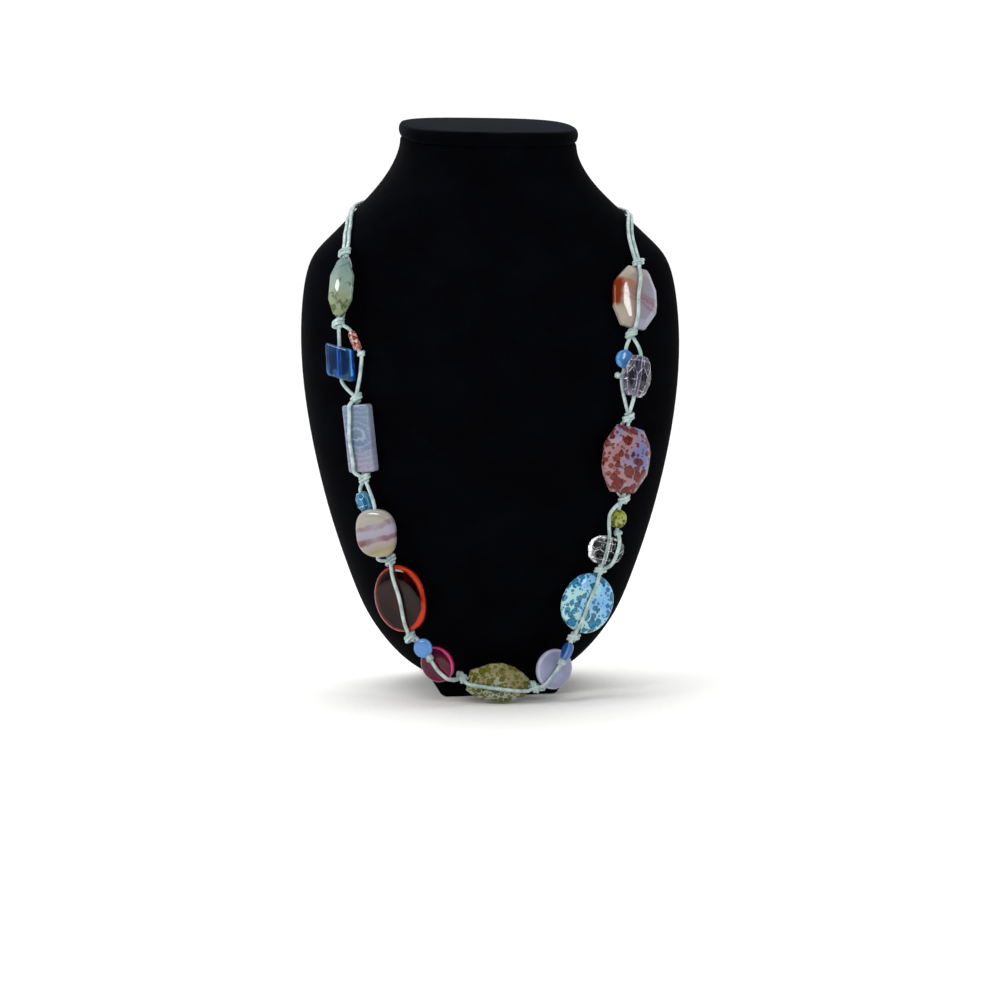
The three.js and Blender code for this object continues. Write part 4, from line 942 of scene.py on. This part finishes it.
class NECKLACE_OT_cords(bpy.types.Operator):
    """String the two cords and tie their knots"""

    bl_idname = "necklace.cords"
    bl_label = "Cords and Knots"

    def execute(self, context):
        sizes = context.scene.necklace_sizes
        groups = {
            node: [cord_mesh("strand", smooth_route(places), sizes.cord) for places in strands]
            for node, strands in STRANDS.items()
        }
        large = model_knot("large_knot", sizes.cord, sizes.turns, *LARGE_KNOT)
        small = model_knot("small_stop", sizes.cord, STOP_TURNS, *SMALL_STOP)
        tied = [(middle, BEADS[bead][2]) for bead, ends in KNOTS.items() for middle in ends]
        for master, rows in ((large, [*tied, NAPE_KNOT]), (small, STOPS)):
            for middle, turn in rows:
                groups[cord_node(middle)].append(copy_to(master, "tied_knot", middle, turn))
            bpy.data.objects.remove(master)
        material = cord_material(sizes.cord_colour)
        for node, parts in groups.items():
            put_down()
            for part in parts:
                part.select_set(True)
            context.view_layer.objects.active = parts[0]
            bpy.ops.object.join()
            piece = context.object
            piece.name = node.replace("cord", "strands")
            bpy.ops.object.transform_apply(location=True, rotation=True, scale=True)
            dress(piece, node, material)
        return {"FINISHED"}


# Beads

# How much longer than the bead the drill bit is, in millimetres.
BIT_SPARE = 6
# How much larger than the bead the block is that it's cut from.
BLOCK_SPARE = 1.3
# A face or edge lies along a direction from this share of it on.
ALONG = 0.9


def drill(piece, bead):
    """Drill the hole for the cords along the bead."""
    length = BEADS[bead][0][2]
    put_down()
    bpy.ops.mesh.primitive_cylinder_add(
        vertices=24, radius=bpy.context.scene.necklace_sizes.hole / 2,
        depth=(length + BIT_SPARE) * MM,
    )
    bit = bpy.context.object
    apply_modifier(piece, "BOOLEAN", object=bit, operation="DIFFERENCE", solver="EXACT")
    bpy.data.objects.remove(bit)


def finish_bead(piece, bead, angle, edges=None):
    """Drill a bead, smooth it up to an angle, put it on the string and dress it."""
    material = bead_material(bead)
    drill(piece, bead)
    take(piece)
    bpy.ops.object.shade_smooth_by_angle(angle=math.radians(angle))
    middle, turn = BEADS[bead][1:]
    settle(piece, bead.replace("_bead", "_glass"), middle, turn)
    dress(piece, bead, material, edges)


def block(size, spare=1.0):
    """A plain block of a size in millimetres, or a little larger, for shaping."""
    put_down()
    bpy.ops.mesh.primitive_cube_add(size=1)
    piece = bpy.context.object
    piece.scale = [spare * value * MM for value in size]
    bpy.ops.object.transform_apply(location=False, rotation=False, scale=True)
    return piece


def grind(piece, cuts):
    """Grind flat facets: a cut is a point on the facet, in millimetres, and its outward normal."""
    take(piece)
    bpy.ops.object.mode_set(mode="EDIT")
    for point, normal in cuts:
        bpy.ops.mesh.select_all(action="SELECT")
        bpy.ops.mesh.bisect(
            plane_co=Vector(point) * MM, plane_no=Vector(normal).normalized(),
            use_fill=True, clear_outer=True,
        )
    bpy.ops.object.mode_set(mode="OBJECT")


# Facets of the cut beads, clockwise from the top as the front is seen: direction in degrees from
# the top, distance of the girdle from the middle, and how far the facet runs in from the girdle.
CUT_FACETS = {
    "green_faceted_bead": [
        (0, 15.1, 11.4), (18, 14.3, 11.0), (40, 11.8, 9.3), (66, 7.9, 6.2), (90, 6.0, 4.2),
        (114, 7.9, 6.2), (140, 11.8, 9.3), (162, 14.3, 11.0), (180, 15.1, 11.4), (198, 14.3, 11.0),
        (220, 11.8, 9.3), (246, 7.9, 6.2), (270, 6.0, 4.2), (294, 7.9, 6.2), (320, 11.8, 9.3),
        (342, 14.3, 11.0),
    ],
    "olive_faceted_bead": [
        (3, 15.3, 4.3), (11, 15.2, 4.2), (62, 11.1, 3.3), (77, 10.3, 3.1), (93, 9.6, 2.9),
        (118, 12.5, 3.6), (183, 15.1, 4.2), (189, 15.0, 4.2), (245, 9.9, 3.0), (259, 9.5, 2.9),
        (281, 9.8, 3.0), (296, 10.8, 3.2), (308, 12.2, 3.5),
    ],
    "red_spotted_bead": [
        (7, 15.7, 4.4), (14, 15.6, 4.3), (60, 13.8, 3.9), (77, 12.9, 3.7), (94, 12.2, 3.5),
        (100, 12.3, 3.6), (126, 13.5, 3.8), (178, 17.2, 4.7), (186, 17.2, 4.7), (241, 14.2, 4.0),
        (255, 13.2, 3.8), (272, 12.3, 3.6), (279, 12.7, 3.6), (306, 13.7, 3.9),
    ],
    "pink_banded_bead": [
        (1, 15.4, 4.3), (43, 13.8, 3.9), (59, 11.8, 3.4), (80, 11.1, 3.3), (91, 11.5, 3.4),
        (120, 12.7, 3.6), (177, 15.4, 4.3), (184, 15.5, 4.3), (238, 12.5, 3.6), (264, 11.1, 3.3),
        (278, 11.9, 3.5), (306, 12.9, 3.7),
    ],
}
# Millimetres by which a cut bead's sides stand further out than its solid's.
SPREAD = {"red_spotted_bead": 1.0, "pink_banded_bead": 1.0}
# Share of a cut bead's thickness taken by its upright girdle.
GIRDLE = 0.26
# Facets that meet at more than this many degrees get a bevelled edge, this wide in millimetres;
# the round cut beads' bevels carry a painted highlight.
FACET_ANGLE, FLAT_EDGE, ROUND_EDGE = 12, 0.18, 0.16


def cut_cuts(bead):
    """Cutting planes of a bead's girdle, its two rings of facets and its two tables."""
    thickness = BEADS[bead][0][1]
    half, girdle = thickness / 2, GIRDLE * thickness / 2
    rise = half - girdle
    cuts = [((0, -half, 0), (0, -1, 0)), ((0, half, 0), (0, 1, 0))]
    for turn, distance, inset in CUT_FACETS[bead]:
        out = Vector((math.sin(math.radians(turn)), 0, math.cos(math.radians(turn))))
        distance += SPREAD.get(bead, 0.0) * abs(out.x)
        cuts.append((out * distance, out))
        for face in (-1, 1):
            edge = out * distance + Vector((0, face * girdle, 0))
            cuts.append((edge, out * rise + Vector((0, face * inset, 0))))
    return cuts


class NECKLACE_OT_cut_beads(bpy.types.Operator):
    """Cut the flat faceted beads: the agate, the olive one, the red spotted one and the pink one"""

    bl_idname = "necklace.cut_beads"
    bl_label = "Flat Cut Beads"

    def execute(self, context):
        for bead in CUT_FACETS:
            piece = block(BEADS[bead][0], BLOCK_SPARE)
            grind(piece, cut_cuts(bead))
            apply_modifier(
                piece, "BEVEL", width=FLAT_EDGE * MM, segments=2, limit_method="ANGLE",
                angle_limit=math.radians(FACET_ANGLE),
            )
            finish_bead(piece, bead, FACET_ANGLE)
        return {"FINISHED"}


# Rings of facets round the turned beads: height of the facet's slope in degrees and its count.
ROUND_FACETS = {
    "aqua_faceted_bead": [(0, 8), (38, 8), (-38, 8)],
    "clear_rondelle_bead": [(14, 10), (-14, 10), (48, 10), (-48, 10)],
    "smoky_faceted_bead": [(0, 8), (24, 8), (-24, 8), (52, 8), (-52, 8)],
}
# The egg shape that the facets touch is this much longer than the bead, whose ends are cut flat.
EGG_LENGTH = 1.18


def round_cuts(bead):
    """Planes that touch the bead's egg shape, ring by ring, with each ring turned half a facet."""
    width, thickness, length = [value / 2 for value in BEADS[bead][0]]
    egg = (width, thickness, length * EGG_LENGTH)
    cuts = [((0, 0, length), (0, 0, 1)), ((0, 0, -length), (0, 0, -1))]
    for ring, (slope, count) in enumerate(ROUND_FACETS[bead]):
        tilt = math.radians(slope)
        for step in range(count):
            angle = (step + 0.5 * (ring % 2)) / count * 2 * math.pi
            level = math.cos(tilt)
            way = (math.cos(angle) * level, math.sin(angle) * level, math.sin(tilt))
            normal = Vector([share / half for share, half in zip(way, egg)]).normalized()
            touch = Vector([share * half ** 2 for share, half in zip(normal, egg)])
            reach = math.sqrt(sum((share * half) ** 2 for share, half in zip(normal, egg)))
            cuts.append((touch / reach, normal))
    return cuts


class NECKLACE_OT_round_cut_beads(bpy.types.Operator):
    """Cut the beads with facets all round: the aqua one, the clear one and the smoky one"""

    bl_idname = "necklace.round_cut_beads"
    bl_label = "Round Cut Beads"

    def execute(self, context):
        # The bevels' material paints a thin white highlight along every facet edge.
        edges = edge_material()
        for bead in ROUND_FACETS:
            piece = block(BEADS[bead][0], BLOCK_SPARE)
            grind(piece, round_cuts(bead))
            # Two empty slots, so that the bevel can give its faces the second one.
            piece.data.materials.append(None)
            piece.data.materials.append(None)
            apply_modifier(
                piece, "BEVEL", width=ROUND_EDGE * MM, segments=1, limit_method="ANGLE",
                angle_limit=math.radians(FACET_ANGLE), material=1,
            )
            finish_bead(piece, bead, 10, edges)
        return {"FINISHED"}


# The slabs: radius of the corners, and how much lower the right side stands than the left one,
# in millimetres.
SLABS = {"blue_slab_bead": (1.6, 4.6), "lace_bar_bead": (1.4, 0.4)}
# Rounding of the edges round a slab's faces and a tube's ends, and how far the tube bulges.
SLAB_EDGE, TUBE_EDGE, TUBE_BULGE = 0.9, 0.7, 1.06


class NECKLACE_OT_slab_beads(bpy.types.Operator):
    """Shape the blue slab, the lace agate bar and the small mottled tube"""

    bl_idname = "necklace.slab_beads"
    bl_label = "Slabs and Tube"

    def execute(self, context):
        for bead, (corner, fall) in SLABS.items():
            piece = block(BEADS[bead][0])
            bpy.ops.object.mode_set(mode="EDIT")
            for side in (1, -1):
                pick(piece, "EDGE", lambda middle, way: abs(way.y) > ALONG and middle.x * side > 0)
                bpy.ops.transform.translate(value=(0, 0, -side * fall / 2 * MM))
            pick(piece, "EDGE", lambda middle, way: abs(way.y) > ALONG)
            bpy.ops.mesh.bevel(offset=corner * MM, segments=5, affect="EDGES")
            pick(piece, "FACE", lambda middle, out: abs(out.y) > ALONG)
            bpy.ops.mesh.region_to_loop()
            bpy.ops.mesh.bevel(offset=SLAB_EDGE * MM, segments=4, affect="EDGES")
            bpy.ops.object.mode_set(mode="OBJECT")
            finish_bead(piece, bead, 30)
        width, _, length = BEADS["small_mottled_bead"][0]
        put_down()
        bpy.ops.mesh.primitive_cylinder_add(vertices=20, radius=width / 2 * MM, depth=length * MM)
        piece = context.object
        bpy.ops.object.mode_set(mode="EDIT")
        pick(piece, "FACE", lambda middle, out: abs(out.z) > ALONG)
        bpy.ops.mesh.region_to_loop()
        bpy.ops.mesh.bevel(offset=TUBE_EDGE * MM, segments=3, affect="EDGES")
        bpy.ops.mesh.select_all(action="SELECT")
        bpy.ops.mesh.bisect(plane_co=(0, 0, 0), plane_no=(0, 0, 1))
        bpy.ops.transform.resize(value=(TUBE_BULGE, TUBE_BULGE, 1))
        bpy.ops.object.mode_set(mode="OBJECT")
        finish_bead(piece, "small_mottled_bead", 40)
        return {"FINISHED"}


PRESSED = [
    "banded_pebble_bead", "red_oval_bead", "blue_coin_bead", "magenta_disc_bead",
    "lilac_disc_bead", "navy_coin_bead", "sky_spotted_bead", "green_coin_bead",
    "pale_blue_coin_bead",
]
# Rounds of a pressed bead from its rim to its face: scale, and height as a share of half the
# bead's thickness.
RIM_ROWS = [(1.0, 0.25), (0.94, 0.62), (0.82, 0.88), (0.55, 1.0), (0.25, 1.02)]
# Smoothing draws the outline in, and this makes up for it. One bead is wider than its solid.
DRAWN_IN = 1.012
WIDER = {"sky_spotted_bead": 1.07}
# Where the outlines swell: the way out from the middle, and how many millimetres.
SWELLS = {
    "red_oval_bead": [((0.6, 0, -0.8), 1.1), ((0.8, 0, 0.6), 0.5)],
    "banded_pebble_bead": [
        ((0.7, 0, 0.7), 1.5), ((-0.7, 0, 0.7), 1.3), ((0.7, 0, -0.7), 1.3), ((-0.7, 0, -0.7), 1.1),
    ],
    "sky_spotted_bead": [((-0.8, 0, -0.6), 0.8), ((0.8, 0, 0.6), 0.6)],
}
# A swelling takes along what lies within this many millimetres.
SWELL_REACH = 9


def round_face(middle):
    """Tell the round face, on the bead's middle axis, from the sloping ones round it."""
    return abs(middle.x) < 0.4 and abs(middle.z) < 0.4


def points_along(middle, way):
    """Tell whether a place lies out from the middle within 14 degrees of a way."""
    return Vector((middle.x, 0, middle.z)).normalized().dot(way) > 0.97


class NECKLACE_OT_pressed_beads(bpy.types.Operator):
    """Press the smooth round beads: the pebble, the ovals, the discs and the coins"""

    bl_idname = "necklace.pressed_beads"
    bl_label = "Pebbles, Discs and Coins"

    def execute(self, context):
        for bead in PRESSED:
            width, thickness, length = BEADS[bead][0]
            put_down()
            bpy.ops.mesh.primitive_cylinder_add(
                vertices=24, radius=0.5 * MM, depth=RIM_ROWS[0][1] * thickness * MM,
                rotation=(math.pi / 2, 0, 0),
            )
            piece = context.object
            piece.scale = (width * WIDER.get(bead, DRAWN_IN), length * DRAWN_IN, 1)
            bpy.ops.object.transform_apply(location=False, rotation=True, scale=True)
            bpy.ops.object.mode_set(mode="EDIT")
            for face in (-1, 1):
                for (scale, height), (next_scale, next_height) in zip(RIM_ROWS, RIM_ROWS[1:]):
                    pick(piece, "FACE", lambda middle, out: (
                        face * out.y > ALONG and round_face(middle)
                    ))
                    rise = face * (next_height - height) * thickness / 2 * MM
                    bpy.ops.mesh.extrude_region_move(TRANSFORM_OT_translate={"value": (0, rise, 0)})
                    share = next_scale / scale
                    bpy.ops.transform.resize(value=(share, 1, share))
            for way, push in SWELLS.get(bead, ()):
                way = Vector(way).normalized()
                pick(piece, "EDGE", lambda middle, along: (
                    abs(along.y) > ALONG and points_along(middle, way)
                ))
                bpy.ops.transform.translate(
                    value=way * push * MM, use_proportional_edit=True,
                    proportional_edit_falloff="SMOOTH", proportional_size=SWELL_REACH * MM,
                )
            bpy.ops.object.mode_set(mode="OBJECT")
            round_off(piece, 2)
            finish_bead(piece, bead, 45)
        return {"FINISHED"}


class NECKLACE_PT_workshop(bpy.types.Panel):
    """Lists the steps in the sidebar, in the order in which they are run"""

    bl_idname = "NECKLACE_PT_workshop"
    bl_label = "Necklace"
    bl_space_type = "VIEW_3D"
    bl_region_type = "UI"
    bl_category = "Necklace"

    def draw(self, context):
        column = self.layout.column()
        for sizes in (context.scene.necklace_stage, context.scene.necklace_sizes):
            for name in sizes.bl_rna.properties.keys():
                if name not in ("rna_type", "name"):
                    column.prop(sizes, name)
        for step in STEPS:
            column.operator(step.bl_idname)


STEPS = (
    NECKLACE_OT_stage,
    NECKLACE_OT_cords,
    NECKLACE_OT_bust,
    NECKLACE_OT_cut_beads,
    NECKLACE_OT_round_cut_beads,
    NECKLACE_OT_slab_beads,
    NECKLACE_OT_pressed_beads,
)
CLASSES = (StageSizes, NecklaceSizes, *STEPS, NECKLACE_PT_workshop)


def register():
    """Make the add-on known to Blender."""
    for entry in CLASSES:
        bpy.utils.register_class(entry)
    bpy.types.Scene.necklace_stage = bpy.props.PointerProperty(type=StageSizes)
    bpy.types.Scene.necklace_sizes = bpy.props.PointerProperty(type=NecklaceSizes)


def unregister():
    """Take the add-on out of Blender again."""
    del bpy.types.Scene.necklace_sizes
    del bpy.types.Scene.necklace_stage
    for entry in reversed(CLASSES):
        bpy.utils.unregister_class(entry)


def main():
    """Register the add-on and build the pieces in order."""
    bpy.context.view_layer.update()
    register()
    for step in STEPS:
        group, name = step.bl_idname.split(".")
        getattr(getattr(bpy.ops, group), name)()


if __name__ == "__main__":
    main()
